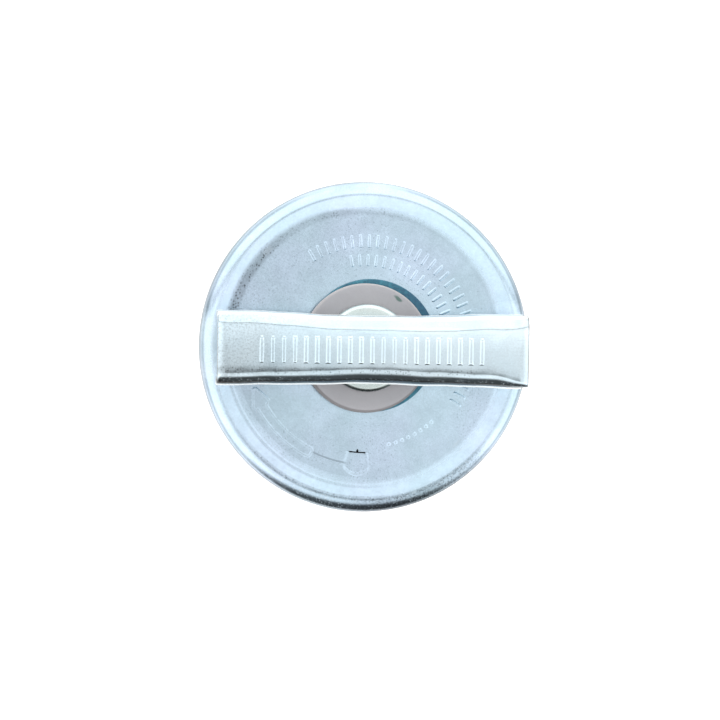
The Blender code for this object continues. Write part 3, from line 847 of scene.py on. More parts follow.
def raised_bar(tree, given):
    """A soft raised bar along X on the plane, its under side sunk below it."""
    cube = made(tree, "GeometryNodeMeshCube", {
        "Size": vector(tree, given["Bar length"], given["Bar width"], 1.0),
        "Vertices X": given["Points along"], "Vertices Y": 11, "Vertices Z": 2,
    })
    x, y, z = parts(tree, made(tree, "GeometryNodeInputPosition"))
    half_width = 0.5 * given["Bar width"]
    core = 0.5 * given["Bar length"] - half_width
    beyond = (x.size() - core).math("MAXIMUM", 0.0)
    bell = ((beyond * beyond + y * y).root() / half_width).fall(0.30, 1.0)
    top = bell * given["Rise"] - 0.00001 - x * x * given["Crown"]
    upper = z.math("GREATER_THAN", 0.0)
    height = upper * top - 0.0004 * (1.0 - upper)
    shaped = made(tree, "GeometryNodeSetPosition", {
        "Geometry": cube, "Position": vector(tree, x, y, height)})
    return made(tree, "GeometryNodeSetShadeSmooth", {0: shaped})


def on_arc(given, angle):
    """Bars on an arc about Z, each pointing at the axis, as x, y and turn."""
    return angle.math("COSINE") * given["Radius"], angle.math("SINE") * given["Radius"], angle


def in_line(given, along):
    """Bars on a line along X, each lying across it, as x, y and turn."""
    return along, given["Across"], math.pi / 2.0


def bar_tree(name, extra, lay_out):
    """Raised bars side by side, laid out from their places in the row."""
    tree, given = new_tree(name, "Count", "Bar length", "Bar width", "Rise", "Points along",
                           "Height", "Start", "Pitch", "Crown", "Material", extra)
    line = made(tree, "GeometryNodeMeshLine", {"Count": given["Count"], "Offset": (0, 0, 0)})
    index = made(tree, "GeometryNodeInputIndex")
    x, y, angle = lay_out(given, index * given["Pitch"] + given["Start"])
    row = made(tree, "GeometryNodeSetPosition", {
        "Geometry": line, "Position": vector(tree, x, y, given["Height"])})
    aim = made(tree, "FunctionNodeEulerToRotation", {0: vector(tree, 0.0, 0.0, angle)})
    bars = made(tree, "GeometryNodeInstanceOnPoints", {
        "Points": row, "Instance": raised_bar(tree, given), "Rotation": aim})
    return end_tree(tree, bars, given["Material"])


def thread_tree():
    """One start of a screw thread: a ridge that winds round Z."""
    tree, given = new_tree("screw_thread", "Turns", "Core radius", "Depth", "Pitch", "Height",
                           "Material")
    helix = made(tree, "GeometryNodeCurveSpiral", {
        "Resolution": 40, "Rotations": given["Turns"], "Start Radius": given["Core radius"],
        "End Radius": given["Core radius"], "Height": given["Turns"] * given["Pitch"],
    })
    upright = made(tree, "GeometryNodeSetCurveNormal", {"Curve": helix}, mode="Z_UP")
    profile = made(tree, "GeometryNodeCurvePrimitiveQuadrilateral", {
        "Bottom Width": 1.05 * given["Pitch"], "Top Width": 0.14 * given["Pitch"],
        "Offset": 0.0, "Height": 1.25 * given["Depth"],
    }, mode="TRAPEZOID")
    wound = made(tree, "GeometryNodeCurveToMesh", {
        "Curve": upright, "Profile Curve": profile, "Fill Caps": True})
    placed = made(tree, "GeometryNodeTransform", {
        "Geometry": wound, "Translation": vector(tree, 0.0, 0.0, given["Height"])})
    return end_tree(tree, placed, given["Material"])


def grown(name, tree, values):
    """A plain mesh object made by a node tree whose inputs are set by socket identifier."""
    piece = bpy.data.objects.new(name, bpy.data.meshes.new(name))
    bpy.context.scene.collection.objects.link(piece)
    modifier = piece.modifiers.new(tree.name, "NODES")
    modifier.node_group = tree
    for socket in tree.interface.items_tree:
        if socket.item_type == "SOCKET" and socket.in_out == "INPUT":
            modifier[socket.identifier] = values[socket.name]
    bpy.context.view_layer.update()
    graph = bpy.context.evaluated_depsgraph_get()
    mesh = bpy.data.meshes.new_from_object(piece.evaluated_get(graph))
    piece.modifiers.remove(modifier)
    piece.data = mesh
    mesh.name = name
    return piece


def joined(name, pieces, finish):
    """Several pieces of one body as one object with one finish."""
    shape = bmesh.new()
    for piece in pieces:
        shape.from_mesh(piece.data)
    for face in shape.faces:
        face.material_index = 0
    mesh = bpy.data.meshes.new(name)
    shape.to_mesh(mesh)
    shape.free()
    mesh.materials.append(finish)
    for piece in pieces:
        bpy.data.objects.remove(piece)
    whole = bpy.data.objects.new(name, mesh)
    bpy.context.scene.collection.objects.link(whole)
    return whole


# Handle.

def handle_side(handle, x, side):
    """One side of the channel, from the middle of its top down to its lip, as (y, z)."""
    _, reach, low, high = HANDLE
    share = abs(x) / reach
    spread = share * share * (3.0 - 2.0 * share)
    half = handle.waist + handle.end_spread * spread
    if side > 0.0:
        half += 0.00014 + (0.00030 if x < 0.0 else 0.00014) * spread
    half += 0.00007 * math.sin(x * 270.0 + 1.3 * side) + 0.00004 * math.sin(x * 610.0 - side)
    radius = handle.shoulder + (handle.end_shoulder - handle.shoulder) * spread
    if side < 0.0:
        radius -= (radius - 0.0013) * float(smooth((x - 0.0270) / 0.0075))
    else:
        radius += 0.0006 * float(smooth(x / 0.02)) * (1.0 - float(smooth((x - 0.031) / 0.004)))
    past = max(abs(x) - (reach - handle.end_drop_length), 0.0) / handle.end_drop_length
    top = high - handle.end_drop * past * past
    tilt = handle.sheet * handle.lip / math.hypot(handle.lip, handle.lip_height)
    bottom = low + tilt
    points = [((half - radius) * share_y, top) for share_y in np.linspace(0.0, 1.0, 9)[:-1]]
    points += arc((half - radius, top - radius), radius, 90, 0, 16)
    start = points[-1][1]
    for t in np.linspace(0.0, 1.0, 10)[1:]:
        z = start + (bottom - start) * t
        flare = float(smooth(1.0 - (z - bottom) / (1.6 * handle.lip_height)))
        points.append((half + (handle.lip - handle.lip_offset * side) * flare, z))
    return points


def web_wave(handle, x, y):
    """The pressed top's crown and slight unevenness, in metres."""
    wave = 0.000022 * math.sin(x * 240.0 + 0.6) + 0.000016 * math.sin(x * 530.0 + y * 260.0)
    wave += 0.000010 * math.sin(x * 1150.0 - y * 700.0 + 2.0)
    return wave - 0.00003 - y * y / (2.0 * handle.crown_radius)


def make_handle(handle):
    """Channel pressed from one sheet, with a waist at the nut and plain cut ends."""
    _, reach, low, _ = HANDLE
    inner_reach = reach - 0.0075
    inner = np.linspace(-inner_reach, inner_reach, 84)

    def end_part(edge):
        part = [(x, 0.0) for x in np.linspace(inner_reach, reach - edge, 26)[1:]]
        return part + [(reach - edge + edge * math.sin(a), edge * (1.0 - math.cos(a)))
                       for a in (math.pi / 6.0, math.pi / 3.0, math.pi / 2.0)]

    stations = [(-x, inset) for x, inset in reversed(end_part(handle.left_edge))]
    stations += [(x, 0.0) for x in inner] + end_part(handle.right_edge)
    points = []
    for x, inset in stations:
        right, left = handle_side(handle, x, 1.0), handle_side(handle, x, -1.0)
        line = [(-y, z) for y, z in reversed(left)] + right[1:]
        line = [(y, z + web_wave(handle, x, y) * smooth((z - low - 0.0015) / 0.006))
                for y, z in line]
        under = under_side(line, handle.sheet)
        if inset:
            shift = (np.array(line) - under) / handle.sheet * inset
            line, under = np.array(line) - shift, under + shift
        lip = max(min(0.00022, handle.sheet / 2.0 - inset - 1e-5), 1e-5)
        ahead_last = np.array(line[-1]) - np.array(line[-2])
        ahead_first = np.array(line[0]) - np.array(line[1])
        loop = [tuple(p) for p in line]
        loop += cut_edge(line[-1], under[-1], ahead_last, lip)
        loop += [tuple(p) for p in reversed(under)]
        loop += cut_edge(under[0], line[0], ahead_first, lip)
        points.extend((x + handle.set_along, y + handle.set_off, z) for y, z in loop)
    size = len(loop)
    faces = []
    for k in range(len(stations) - 1):
        for i in range(size):
            j = (i + 1) % size
            faces.append((k * size + i, k * size + j, (k + 1) * size + j, (k + 1) * size + i))
    count, bend = len(line), 6
    for base in (0, (len(stations) - 1) * size):
        for i in range(count - 1):
            mirrored = 2 * count + bend - 1 - i
            faces.append((base + i, base + i + 1, base + mirrored - 1, base + mirrored))
        faces.append(tuple(base + i for i in range(count - 1, count + bend + 1)))
        faces.append(tuple([base + i for i in range(2 * count + bend - 1, size)] + [base]))
    finish = plated("bright_handle_zinc", handle, 0.07, 0.09, 0.000008, lengthwise=True,
                    worn=0.25, shade=handle_shade, haze=handle_haze, powder_and_highlight=handle_powder_and_highlights)
    return new_piece("handle_channel", points, faces, finish)


# Below the shoulders the sheet has just turned down; there its front is painted in shade and its
# back is whitened as a painted highlight.
TURN_DOWN = HANDLE[3] - 0.0024
# The handle is set 0.4 mm to the right of its nut.
RIGHT_END = HANDLE[1] + 0.0004


def handle_turn_down(zinc):
    """The strip just below the shoulders."""
    return zinc.z.band(TURN_DOWN, 0.0007, 0.0007)


def handle_cut(zinc):
    """The grey sheared edge at the handle's right end."""
    return zinc.x.fade(RIGHT_END - 0.00034, RIGHT_END - 0.00016)


def handle_powder_and_highlights(zinc):
    """Painted highlights along both lips and low on the back, white zinc powder in specks on the
    front, and the cut edge.
    """
    # Painted highlight along both lips.
    lips = zinc.z.fall(HANDLE[2] + 0.0010, HANDLE[2] + 0.0015)
    front = zinc.y.fall(-0.0069, -0.0063) * zinc.specks(2300.0, 0.45)
    # Painted highlight low on the back, just below the shoulders.
    back = handle_turn_down(zinc) * zinc.y.fade(0.0050, 0.0060)
    white = (0.85 * lips + 0.20 * front).math("MAXIMUM", 0.60 * back)
    return white.math("MAXIMUM", handle_cut(zinc))


def handle_haze(zinc):
    """Roughness low on the handle's sides, where fingers don't reach."""
    return 0.25 * zinc.z.fall(TURN_DOWN, TURN_DOWN + 0.0008)


def handle_shade(zinc):
    """Painted shade with flecks towards the left end and along the crease, painted shade in
    front below the shoulders, a back painted darker to dim its highlight, and the dark cut edge.
    """
    flecks = zinc.noise(1900.0, 3.0, 0.75).ramp((0.46, 0.0), (0.66, 1.0))
    # Painted shade towards the left end, with flecks.
    dull = zinc.x.fall(-0.0310, -0.0060) * (0.07 + 0.20 * flecks)
    # Painted shade with specks along the lower crease.
    crease = zinc.y.band(-0.0050, 0.0003, 0.0009) * zinc.x.fall(0.0200, 0.0290)
    crease *= 0.20 + 0.26 * zinc.specks(1900.0, 0.55)
    # Painted shade in front, just below the shoulders.
    front_shade = handle_turn_down(zinc) * zinc.y.fall(-0.0066, -0.0058)
    # The back is painted darker, dimming its highlight.
    back = zinc.y.band(0.0063, 0.0012, 0.0006) * zinc.x.fade(-0.0260, 0.0040)
    return 1.0 - dull - crease - 0.12 * back - 0.78 * (front_shade + handle_cut(zinc))


# Nut, washers, plug, plate and stud.

def make_nut(nut):
    """Round hub and hexagon turned and milled from one piece, with the bore through both."""
    _, hub, low, high = NUT
    angles = even_angles(180)
    top = low + nut.hub_height
    bevel = 0.00035
    corner = nut.half_width / math.cos(math.pi / 6.0) * 0.985
    hexagon = flats(nut.half_width, 6, angles, corner)
    rows = [(nut.bore + bevel, high), (nut.half_width * 0.93, high),
            (nut.half_width * 0.97, high - 0.00003)]
    for fall in np.linspace(0.2, 1.0, 6):
        circle = nut.half_width * 0.98 + fall * 0.0012
        rows.append((np.minimum(hexagon, circle), high - 0.0007 * fall))
    rows += [(hexagon, z) for z in np.linspace(high - 0.0012, top + 0.0004, 4)]
    rows += [(hexagon + 0.00008, top + 0.00018), (hexagon + 0.00022, top + 0.00005),
             (hexagon + 0.00045, top)]
    rows += [(r, top) for r in np.linspace(0.0072, hub - nut.hub_edge - 0.0008, 4)]
    rows += arc((hub - nut.hub_edge, top - nut.hub_edge), nut.hub_edge, 90, 0, 12)
    rows += arc((hub - 0.0003, low + 0.0003), 0.0003, 0, -90, 4)
    rows += [((hub + nut.bore) / 2.0, low), (nut.bore + bevel, low), (nut.bore, low + bevel)]
    rows += [(nut.bore, z) for z in np.linspace(low + bevel, high - bevel, 6)[1:]]
    points, faces, _ = turned(rows, angles)
    finish = plated("satin_nut_zinc", nut, 0.04, 0.03, 0.0000015, worn=0.15, shade=nut_shade)
    return new_piece("nut_and_hub", points, faces, finish)


def nut_shade(zinc):
    """Painted shade along the front of the hub's foot."""
    foot = zinc.radius.fade(NUT[1] - 0.0010, NUT[1] - 0.0004)
    return 1.0 - 0.70 * zinc.y.fall(-0.0062, -0.0030) * foot


def flat_ring(name, node, hole, wider, left, edge, wave, finish):
    """A washer with rounded edges that lies off the axis about where its node does."""
    middle, radius, low, high = node
    radius += wider
    line = rounded(
        [(hole, high, edge), (radius, high, edge), (radius, low, edge), (hole, low, edge)], 4)
    dense = []
    for (r, z), (r2, _) in zip(line, line[1:] + line[:1]):
        dense.append((r, z))
        if abs(r2 - r) > 0.002:
            dense += [(r + (r2 - r) * t, z) for t in np.linspace(0.0, 1.0, 9)[1:-1]]
    angles = even_angles(160)
    # The upper face dips in shallow waves.
    lumps = wave * (np.sin(2.0 * angles + 0.7) + 0.5 * np.sin(5.0 * angles)) - 1.5 * wave
    rows = [(r, z + lumps if z > (low + high) / 2.0 else z) for r, z in dense]
    points, faces, _ = turned(rows, angles, (middle.x - left, middle.y))
    return new_piece(name, points, faces, finish)


def thrust_finish(washers):
    """Matt grey washer with fine grit, rubbed rings, one teal stain, and a rim painted dark in
    front as painted shade and pale behind as painted highlight.
    """
    grey = Finish("matt_grey_steel")
    grit = grey.noise(3000.0, 3.0, 0.7)
    level = 0.90 + 0.16 * grey.noise(140.0, 4.0, 0.6) + 0.16 * (grit - 0.5)
    x, y = grey.x - 0.0070, grey.y - 0.0113
    along, across = 0.80 * x - 0.60 * y, 0.60 * x + 0.80 * y
    ragged = (along * along + 7.0 * across * across).root() + 0.0012 * grey.noise(900.0, 3.0)
    stain = ragged.band(0.0, 0.0011, 0.0009)
    base = (0.85 * stain).mix(level.of(washers.grey), washers.stain)
    # The rim is painted dark in front as painted shade and pale behind as painted highlight.
    rim = grey.radius.fade(THRUST[1] - 0.0005, THRUST[1] - 0.0002)
    rim_shade_and_highlight = grey.y.fade(-0.0060, 0.0040).mix((0.09, 0.08, 0.08), (0.45, 0.43, 0.43))
    rings = made(
        grey.tree, "ShaderNodeTexWave",
        {"Vector": grey.place, "Scale": 900.0, "Distortion": 1.5}, "Fac",
        wave_type="RINGS", rings_direction="Z",
    )
    return grey.finish(grit + 0.35 * rings, 0.00001, 0.6, Metallic=0.25,
                       Base_Color=(0.60 * rim).mix(base, rim_shade_and_highlight), Roughness=0.46 + 0.18 * grit)


def seal_finish(washers):
    """Pressed teal fibre: short crossed fibres, a slightly waxy face and a painted shadow of the
    grey washer on its upper right.
    """
    teal = Finish("teal_fibre")
    one = teal.noise(1500.0, 3.0, 0.6, (0.25, 1.0, 1.0))
    fibres = one * teal.noise(1500.0, 3.0, 0.6, (1.0, 0.25, 1.0))
    pale = fibres.ramp((0.16, 0.0), (0.36, 1.0)) * (0.45 + 0.7 * teal.noise(240.0, 3.0))
    # Painted shadow of the grey washer on the upper right.
    washer_shadow = teal.x.fade(0.0050, 0.0120) * teal.y.fade(0.0030, 0.0070)
    base = (0.55 * washer_shadow).mix(pale.mix(washers.teal_dark, washers.teal), (0.012, 0.060, 0.125))
    return teal.finish(fibres, 0.00003, 0.8, Base_Color=base, Roughness=0.42 + 0.25 * one,
                       Specular_IOR_Level=0.5)


def rubber_finish(plug):
    """Moulded black rubber: fine pores, pale mould dust and scuffed corners."""
    rubber = Finish("black_rubber")
    cloud = rubber.noise(110.0, 4.0, 0.6)
    dust = 0.5 * cloud.ramp((0.48, 0.0), (0.75, 1.0))
    dust = dust.math("MAXIMUM", rubber.edges(0.51, 0.60, 0.55))
    return rubber.finish(rubber.noise(2600.0, 3.0, 0.6), 0.00003, 0.7,
                         Base_Color=dust.mix(plug.rubber, plug.dust),
                         Roughness=0.42 + 0.30 * cloud)


def make_plug(plug, clamp, cover):
    """Moulded plug whose lower half follows the clamp plate as it rises."""
    _, flange, low, high = PLUG
    under = high - plug.flange_height
    groove = plug.barrel - plug.relief_depth
    groove_low = under - plug.relief_height
    dish = [(clamp.dish_radius, PLATE[3])]
    dish += ogee(dish[0], clamp.dish_run, clamp.sheet - PLATE[3], 8)
    gap = low - clamp.sheet
    seam = (low + groove_low) / 2.0
    # The pocket for the cover's tab, and the close rows of points that it is pressed into.
    pocket_from, pocket_to, pocket_half, pocket_depth = 0.0228, 0.02895, 0.0037, 0.0016
    wall, close_from, close_to = 0.0003, 0.0220, 0.0290
    corners = [(plug.bore, high, 0.0003)]
    corners += [(r, high, 0.0) for r in np.linspace(close_from, close_to, 29)]
    corners += [
        (flange, high, 0.0005), (flange, under, 0.0005), (plug.barrel + 0.0003, under, 0.0002),
        (groove, under - plug.relief_depth, 0.0006), (groove, groove_low, 0.0006),
        (plug.barrel, groove_low - plug.relief_depth, 0.0004),
        (plug.barrel, seam + 0.0003, 0.0), (plug.barrel + plug.seam, seam, 0.0001),
        (plug.barrel, seam - 0.0003, 0.0),
        (plug.barrel, low + plug.lead_in, 0.0005), (plug.barrel - plug.lead_in, low, 0.0005),
    ]
    corners += [(r + gap, z + gap, 0.0) for r, z in reversed(dish)]
    corners.append((plug.bore, PLATE[3] + gap, 0.0003))
    line = rounded(corners, 4)
    near = np.radians(np.linspace(-9.5, 9.5, 39)) + cover.tab_angle
    angles = with_rest(near, 150)
    rows = []
    for r, z in line:
        if z > high - 1e-6 and close_from - 0.0001 < r < close_to + 0.0001:
            along = r * np.cos(angles - cover.tab_angle)
            side = np.abs(r * np.sin(angles - cover.tab_angle))
            inside = smooth((pocket_half - side) / wall) * smooth((pocket_to - along) / wall)
            z = z - pocket_depth * inside * smooth((along - pocket_from) / wall)
        rows.append((r, z))
    points, faces, _ = turned(rows, angles)
    return new_piece("swelling_plug", points, faces, rubber_finish(plug), 40.0)


def make_plate(clamp, finish):
    """Dished plate with a square hole."""
    _, radius, _, high = PLATE
    edge = 0.00025
    corner = 0.00578
    angles = even_angles(184)
    square = flats(clamp.hole, 4, angles, corner)
    line = [(r, high) for r in np.linspace(0.0062, clamp.dish_radius, 4)]
    line += ogee(line[-1], clamp.dish_run, clamp.sheet - high, 10)
    line += [(r, clamp.sheet) for r in np.linspace(line[-1][0], radius - edge, 7)[1:]]
    under = under_side(line, clamp.sheet)
    rows = [(square, high - edge), (square + edge * 0.3, high - edge * 0.3), (square + edge, high)]
    rows += line + cut_edge(line[-1], under[-1], (1.0, 0.0), edge)
    rows += [tuple(p) for p in reversed(under)]
    rows += [(square + edge, high - clamp.sheet), (square, high - clamp.sheet + edge)]
    points, faces, _ = turned(rows, angles)
    return new_piece("dished_plate", points, faces, finish)


def make_stud(clamp, finish):
    """Carriage bolt: domed head, square neck, core of the thread and staked end."""
    _, _, low, high = STUD
    angles = even_angles(160)
    head_top = low + clamp.head_height
    rim = clamp.head_height / 4.0
    dome = clamp.head_height - rim
    neck_top = PLATE[3]
    corner = 0.00540
    square = flats(clamp.neck, 4, angles, corner)
    rows = [(0.0, low)]
    for a in np.linspace(0.0, math.pi / 2.0, 18)[1:]:
        rows.append((clamp.head_radius * math.sin(a), head_top - rim - dome * math.cos(a)))
    rows += arc((clamp.head_radius - 0.0002, head_top - 0.0002), 0.0002, 0, 90, 4)
    rows += [(0.0066, head_top), (square + 0.0002, head_top), (square, head_top + 0.0002),
             (square, neck_top - 0.0004), (np.minimum(square, 0.0047), neck_top - 0.00015),
             (np.minimum(square, 0.0042), neck_top), (clamp.shank, neck_top + 0.0001),
             (clamp.shank, neck_top + 0.0008), (clamp.core, neck_top + 0.0013)]
    rows += [(clamp.core, z) for z in np.linspace(neck_top + 0.0013, high - 0.0016, 6)[1:]]
    staked = high - clamp.end_height
    rows += [(clamp.shank, high - 0.0011), (clamp.shank, staked),
             (clamp.end_radius - 0.0001, staked + 0.00002), (clamp.end_radius, staked + 0.00015)]
    rows += arc((clamp.end_radius - 0.00035, high - 0.00035), 0.00035, 0, 90, 5)
    rows += [(0.0024, high - 0.00002), (0.0013, high - 0.00012), (0.0006, high - 0.00035),
             (0.0, high - 0.00040)]
    points, faces, _ = turned(rows, angles, closed=False)
    return new_piece("stud_bolt", points, faces, finish)


# Stage.

# Light of the tent from the front to the back, its strength from left to right, and the
# colours of the table that is mirrored under it.
FRONT_TO_BACK = (
    (0.000, 0.045), (0.035, 0.045), (0.070, 0.12), (0.110, 0.50), (0.150, 0.74), (0.275, 0.76),
    (0.350, 0.66), (0.430, 0.58), (0.490, 0.58), (0.520, 0.66), (0.550, 0.84), (0.585, 0.80),
    (0.604, 0.40), (0.622, 0.40), (0.650, 0.80), (0.690, 0.97), (1.000, 1.00),
)
LEFT_TO_RIGHT = (
    (0.000, 0.90), (0.375, 0.92), (0.450, 0.84), (0.500, 0.83), (0.545, 0.93), (0.575, 0.99),
    (0.650, 0.93), (1.000, 0.88),
)
TABLE = (
    (0.00, (0.60, 0.56, 0.53)), (0.20, (0.58, 0.54, 0.51)), (0.50, (0.42, 0.39, 0.37)),
    (0.75, (0.60, 0.58, 0.56)), (1.00, (0.95, 0.94, 0.92)),
)


def tent_of_light(stage):
    """Long soft strips of light over the part, dark towards the front near the ground."""
    world = bpy.data.worlds.new("light_tent")
    bpy.context.scene.world = world
    world.use_nodes = True
    tree = world.node_tree
    tree.nodes.clear()
    x, y, z = parts(tree, made(tree, "ShaderNodeTexCoord", output="Generated"))
    back_to_front = y * 0.5 + 0.5
    strength = (x * 0.5 + 0.5).ramp(*LEFT_TO_RIGHT)
    strength *= 1.0 + 0.42 * y.fall(0.05, 0.30) * (x - 0.05).size().fade(0.25, 0.60)
    across, along = (x - 0.06) / 0.15, (y + 0.215) / 0.09
    strength *= 0.34 + 0.66 * (across * across + along * along).root().fade(0.60, 1.12)
    strength *= 1.0 - 0.42 * z.band(-0.18, 0.16, 0.14) * x.size().fade(0.15, 0.50)
    light = z.fade(-0.62, -0.38).mix(
        back_to_front.ramp(*TABLE), back_to_front.ramp(*FRONT_TO_BACK))
    tent = made(tree, "ShaderNodeBackground", {"Color": light, "Strength": strength * stage.sky})
    plain = made(tree, "ShaderNodeBackground", {"Color": (1.0, 1.0, 1.0, 1.0)})
    seen = made(tree, "ShaderNodeLightPath", output="Is Camera Ray")
    both = made(tree, "ShaderNodeMixShader", {0: seen, 1: tent, 2: plain})
    add_node(tree, "ShaderNodeOutputWorld", {0: both})


def make_floor(stage):
    """A wide pale floor that doesn't show in the part's reflections."""
    half = stage.floor_size / 2.0
    mesh = bpy.data.meshes.new("floor")
    mesh.from_pydata(
        [(-half, -half, 0.0), (half, -half, 0.0), (half, half, 0.0), (-half, half, 0.0)],
        [], [(0, 1, 2, 3)],
    )
    floor = bpy.data.objects.new("floor", mesh)
    bpy.context.scene.collection.objects.link(floor)
    pale = Finish("pale_floor")
    colour = tuple(stage.floor_colour)
    cloud = pale.noise(6.0, 3.0).ramp((0.0, tuple(0.97 * c for c in colour)), (1.0, colour))
    shader = pale.tree.nodes["Principled BSDF"]
    fill(pale.tree, shader, {
        "Base Color": cloud, "Roughness": 0.9, "Specular IOR Level": 0.1,
        "Emission Color": (1.0, 1.0, 1.0, 1.0), "Emission Strength": 0.75,
    })
    mesh.materials.append(pale.material)
    floor.visible_glossy = False
    return floor


def make_lamps(stage):
    """Two weak soft lamps that fill the matt pieces and stay out of the reflections."""
    for name, place in (("back_lamp", (-0.18, 0.28, 0.55)), ("front_lamp", (0.10, -0.35, 0.50))):
        data = bpy.data.lights.new(name, "AREA")
        data.energy = stage.lamp
        data.shape = "DISK"
        data.size = 0.35
        lamp = bpy.data.objects.new(name, data)
        lamp.location = place
        lamp.rotation_mode = "QUATERNION"
        lamp.rotation_quaternion = (-lamp.location).to_track_quat("-Z", "Y")
        lamp.visible_glossy = False
        bpy.context.scene.collection.objects.link(lamp)


def make_camera(stage):
    """A camera almost straight above, leaning a little, with the handle level in view."""
    back = Vector((-math.tan(stage.lean_left), math.tan(stage.lean_back), 1.0)).normalized()
    right = Vector((math.cos(stage.roll), math.sin(stage.roll), 0.0))
    right = (right - back * right.dot(back)).normalized()
    up = back.cross(right)
    aim = Vector((0.0, 0.0, COVER[3])) - right * stage.right - up * stage.up
    data = bpy.data.cameras.new("camera")
    data.sensor_width = 36.0
    data.lens = 36.0 * stage.distance / stage.width_in_view
    data.clip_start, data.clip_end = 0.01, 20.0
    camera = bpy.data.objects.new("camera", data)
    turned_to = Matrix((right, up, back)).transposed().to_4x4()
    camera.matrix_world = Matrix.Translation(aim + back * stage.distance) @ turned_to
    bpy.context.scene.collection.objects.link(camera)
    bpy.context.scene.camera = camera


# Operators.

class FILLERCAP_OT_cover(Operator):
    """Make the stamped cover with its pressed tab"""
    bl_idname = "fillercap.cover"
    bl_label = "Cover"

    def execute(self, context):
        piece = make_cover(context.scene.filler_cap.cover)
        carry(piece, "cap", "cover")
        return {"FINISHED"}


class FILLERCAP_OT_cover_marks(Operator):
    """Make the raised bars, pips and turning arrow on the cover's floor"""
    bl_idname = "fillercap.cover_marks"
    bl_label = "Cover marks"

    def execute(self, context):
        cover, marks = context.scene.filler_cap.cover, context.scene.filler_cap.marks
        finish = plated("mark_zinc", cover, 0.09, 0.12, 0.000010, worn=0.0, shade=cover_shade)
        common = {"Height": COVER[3] - cover.rim_rise, "Rise": marks.rise, "Crown": 0.0,
                  "Material": finish}
        tree = bar_tree("bars_on_arc", "Radius", on_arc)
        columns = ("Count", "Radius", "Bar length", "Bar width", "Start", "Pitch", "Points along")
        table = {
            "outer_bars": (marks.outer_count, marks.outer_radius, marks.outer_bar,
                           marks.bar_width, marks.outer_start, marks.pitch, 13),
            "inner_bars": (marks.inner_count, marks.inner_radius, marks.inner_bar,
                           marks.bar_width, marks.inner_start, marks.inner_pitch, 13),
            "pips": (marks.pip_count, marks.pip_radius, marks.pip_width,
                     marks.pip_width, marks.pip_start, marks.pip_pitch, 9),
        }
        rows = [grown(name, tree, {**common, **dict(zip(columns, values))})
                for name, values in table.items()]
        carry(joined("cover_bars_and_pips", rows, finish), "cap", None)
        carry(make_arrow(cover, marks, finish), "cap", None)
        return {"FINISHED"}


class FILLERCAP_OT_handle(Operator):
    """Make the channel-shaped handle"""
    bl_idname = "fillercap.handle"
    bl_label = "Handle"

    def execute(self, context):
        piece = make_handle(context.scene.filler_cap.handle)
        carry(piece, "turning_handle", "handle")
        return {"FINISHED"}


class FILLERCAP_OT_grip_ribs(Operator):
    """Make the row of raised grip ribs on top of the handle"""
    bl_idname = "fillercap.grip_ribs"
    bl_label = "Grip ribs"

    def execute(self, context):
        handle = context.scene.filler_cap.handle
        ribs = grown("grip_ribs", bar_tree("bars_in_line", "Across", in_line), {
            "Count": handle.rib_count, "Bar length": handle.rib_length,
            "Bar width": handle.rib_width, "Rise": handle.rib_rise, "Points along": 19,
            "Height": HANDLE[3] - 0.00003, "Start": handle.rib_start + handle.set_along,
            "Pitch": handle.rib_pitch, "Crown": 0.5 / handle.crown_radius,
            "Across": handle.set_off,
            "Material": bpy.data.materials["bright_handle_zinc"],
        })
        carry(ribs, "turning_handle", None)
        return {"FINISHED"}


class FILLERCAP_OT_handle_nut(Operator):
    """Make the nut with its round hub and hexagon"""
    bl_idname = "fillercap.handle_nut"
    bl_label = "Handle nut"

    def execute(self, context):
        piece = make_nut(context.scene.filler_cap.nut)
        carry(piece, "turning_handle", "handle_nut")
        return {"FINISHED"}


class FILLERCAP_OT_washers(Operator):
    """Make the grey thrust washer and the teal seal washer"""
    bl_idname = "fillercap.washers"
    bl_label = "Washers"

    def execute(self, context):
        washers = context.scene.filler_cap.washers
        thrust = flat_ring("thrust_ring", THRUST, washers.thrust_hole, washers.thrust_wider,
                           washers.thrust_left, washers.edge, 0.00002, thrust_finish(washers))
        carry(thrust, "cap", "thrust_washer")
        seal = flat_ring("seal_ring", SEAL, washers.seal_hole, washers.seal_wider,
                         washers.seal_left, washers.edge, 0.00004, seal_finish(washers))
        carry(seal, "cap", "seal_washer")
        return {"FINISHED"}


class FILLERCAP_OT_rubber_plug(Operator):
    """Make the rubber plug in one fixed shape; the real one shortens as the plate rises"""
    bl_idname = "fillercap.rubber_plug"
    bl_label = "Rubber plug"

    def execute(self, context):
        settings = context.scene.filler_cap
        piece = make_plug(settings.plug, settings.clamp, settings.cover)
        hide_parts("rubber_plug")
        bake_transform(piece)
        return {"FINISHED"}


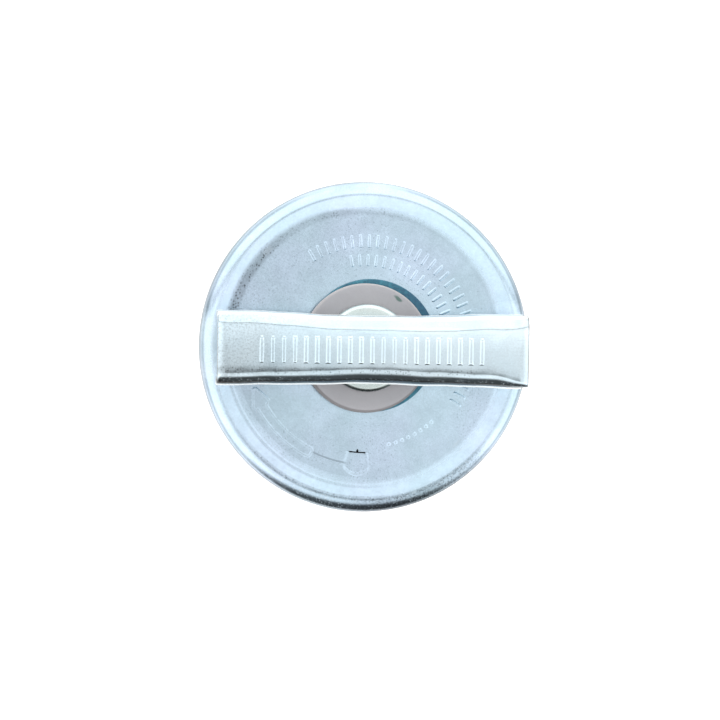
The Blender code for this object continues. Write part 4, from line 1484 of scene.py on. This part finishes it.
class FILLERCAP_OT_clamp(Operator):
    """Make the dished plate, the stud and its thread"""
    bl_idname = "fillercap.clamp"
    bl_label = "Clamp plate and stud"

    def execute(self, context):
        clamp = context.scene.filler_cap.clamp
        finish = plated("dull_clamp_zinc", clamp, 0.10, 0.12, 0.000014, worn=0.4)
        carry(make_plate(clamp, finish), "clamp", "clamp_plate")
        carry(make_stud(clamp, finish), "clamp", "stud")
        first = PLATE[3] + 0.0015
        last = STUD[3] - clamp.end_height - 0.0012
        thread = grown("stud_thread", thread_tree(), {
            "Turns": (last - first) / clamp.pitch, "Core radius": clamp.core,
            "Depth": clamp.shank - clamp.core, "Pitch": clamp.pitch, "Height": first,
            "Material": finish,
        })
        carry(thread, "clamp", None)
        return {"FINISHED"}


class FILLERCAP_OT_stage(Operator):
    """Set the floor, the light and the camera"""
    bl_idname = "fillercap.stage"
    bl_label = "Stage"

    def execute(self, context):
        stage = context.scene.filler_cap.stage
        tent_of_light(stage)
        make_floor(stage)
        make_lamps(stage)
        make_camera(stage)
        context.scene.view_settings.view_transform = "Standard"
        return {"FINISHED"}


OPERATORS = (
    FILLERCAP_OT_cover, FILLERCAP_OT_cover_marks, FILLERCAP_OT_handle, FILLERCAP_OT_grip_ribs,
    FILLERCAP_OT_handle_nut, FILLERCAP_OT_washers, FILLERCAP_OT_rubber_plug,
    FILLERCAP_OT_clamp, FILLERCAP_OT_stage,
)


class FILLERCAP_PT_pieces(Panel):
    """List the filler cap's pieces"""
    bl_idname = "FILLERCAP_PT_pieces"
    bl_label = "Oil Filler Cap"
    bl_space_type = "VIEW_3D"
    bl_region_type = "UI"
    bl_category = "Filler Cap"

    def draw(self, context):
        for operator in OPERATORS:
            self.layout.operator(operator.bl_idname)


CLASSES = (
    CoverSettings, MarkSettings, HandleSettings, NutSettings, WasherSettings, PlugSettings,
    ClampSettings, StageSettings, FillerCapSettings, *OPERATORS, FILLERCAP_PT_pieces,
)


def register():
    for cls in CLASSES:
        bpy.utils.register_class(cls)
    bpy.types.Scene.filler_cap = PointerProperty(type=FillerCapSettings)


def unregister():
    del bpy.types.Scene.filler_cap
    for cls in reversed(CLASSES):
        bpy.utils.unregister_class(cls)


def main():
    register()
    for operator in OPERATORS:
        group, name = operator.bl_idname.split(".")
        getattr(getattr(bpy.ops, group), name)()


if __name__ == "__main__":
    main()
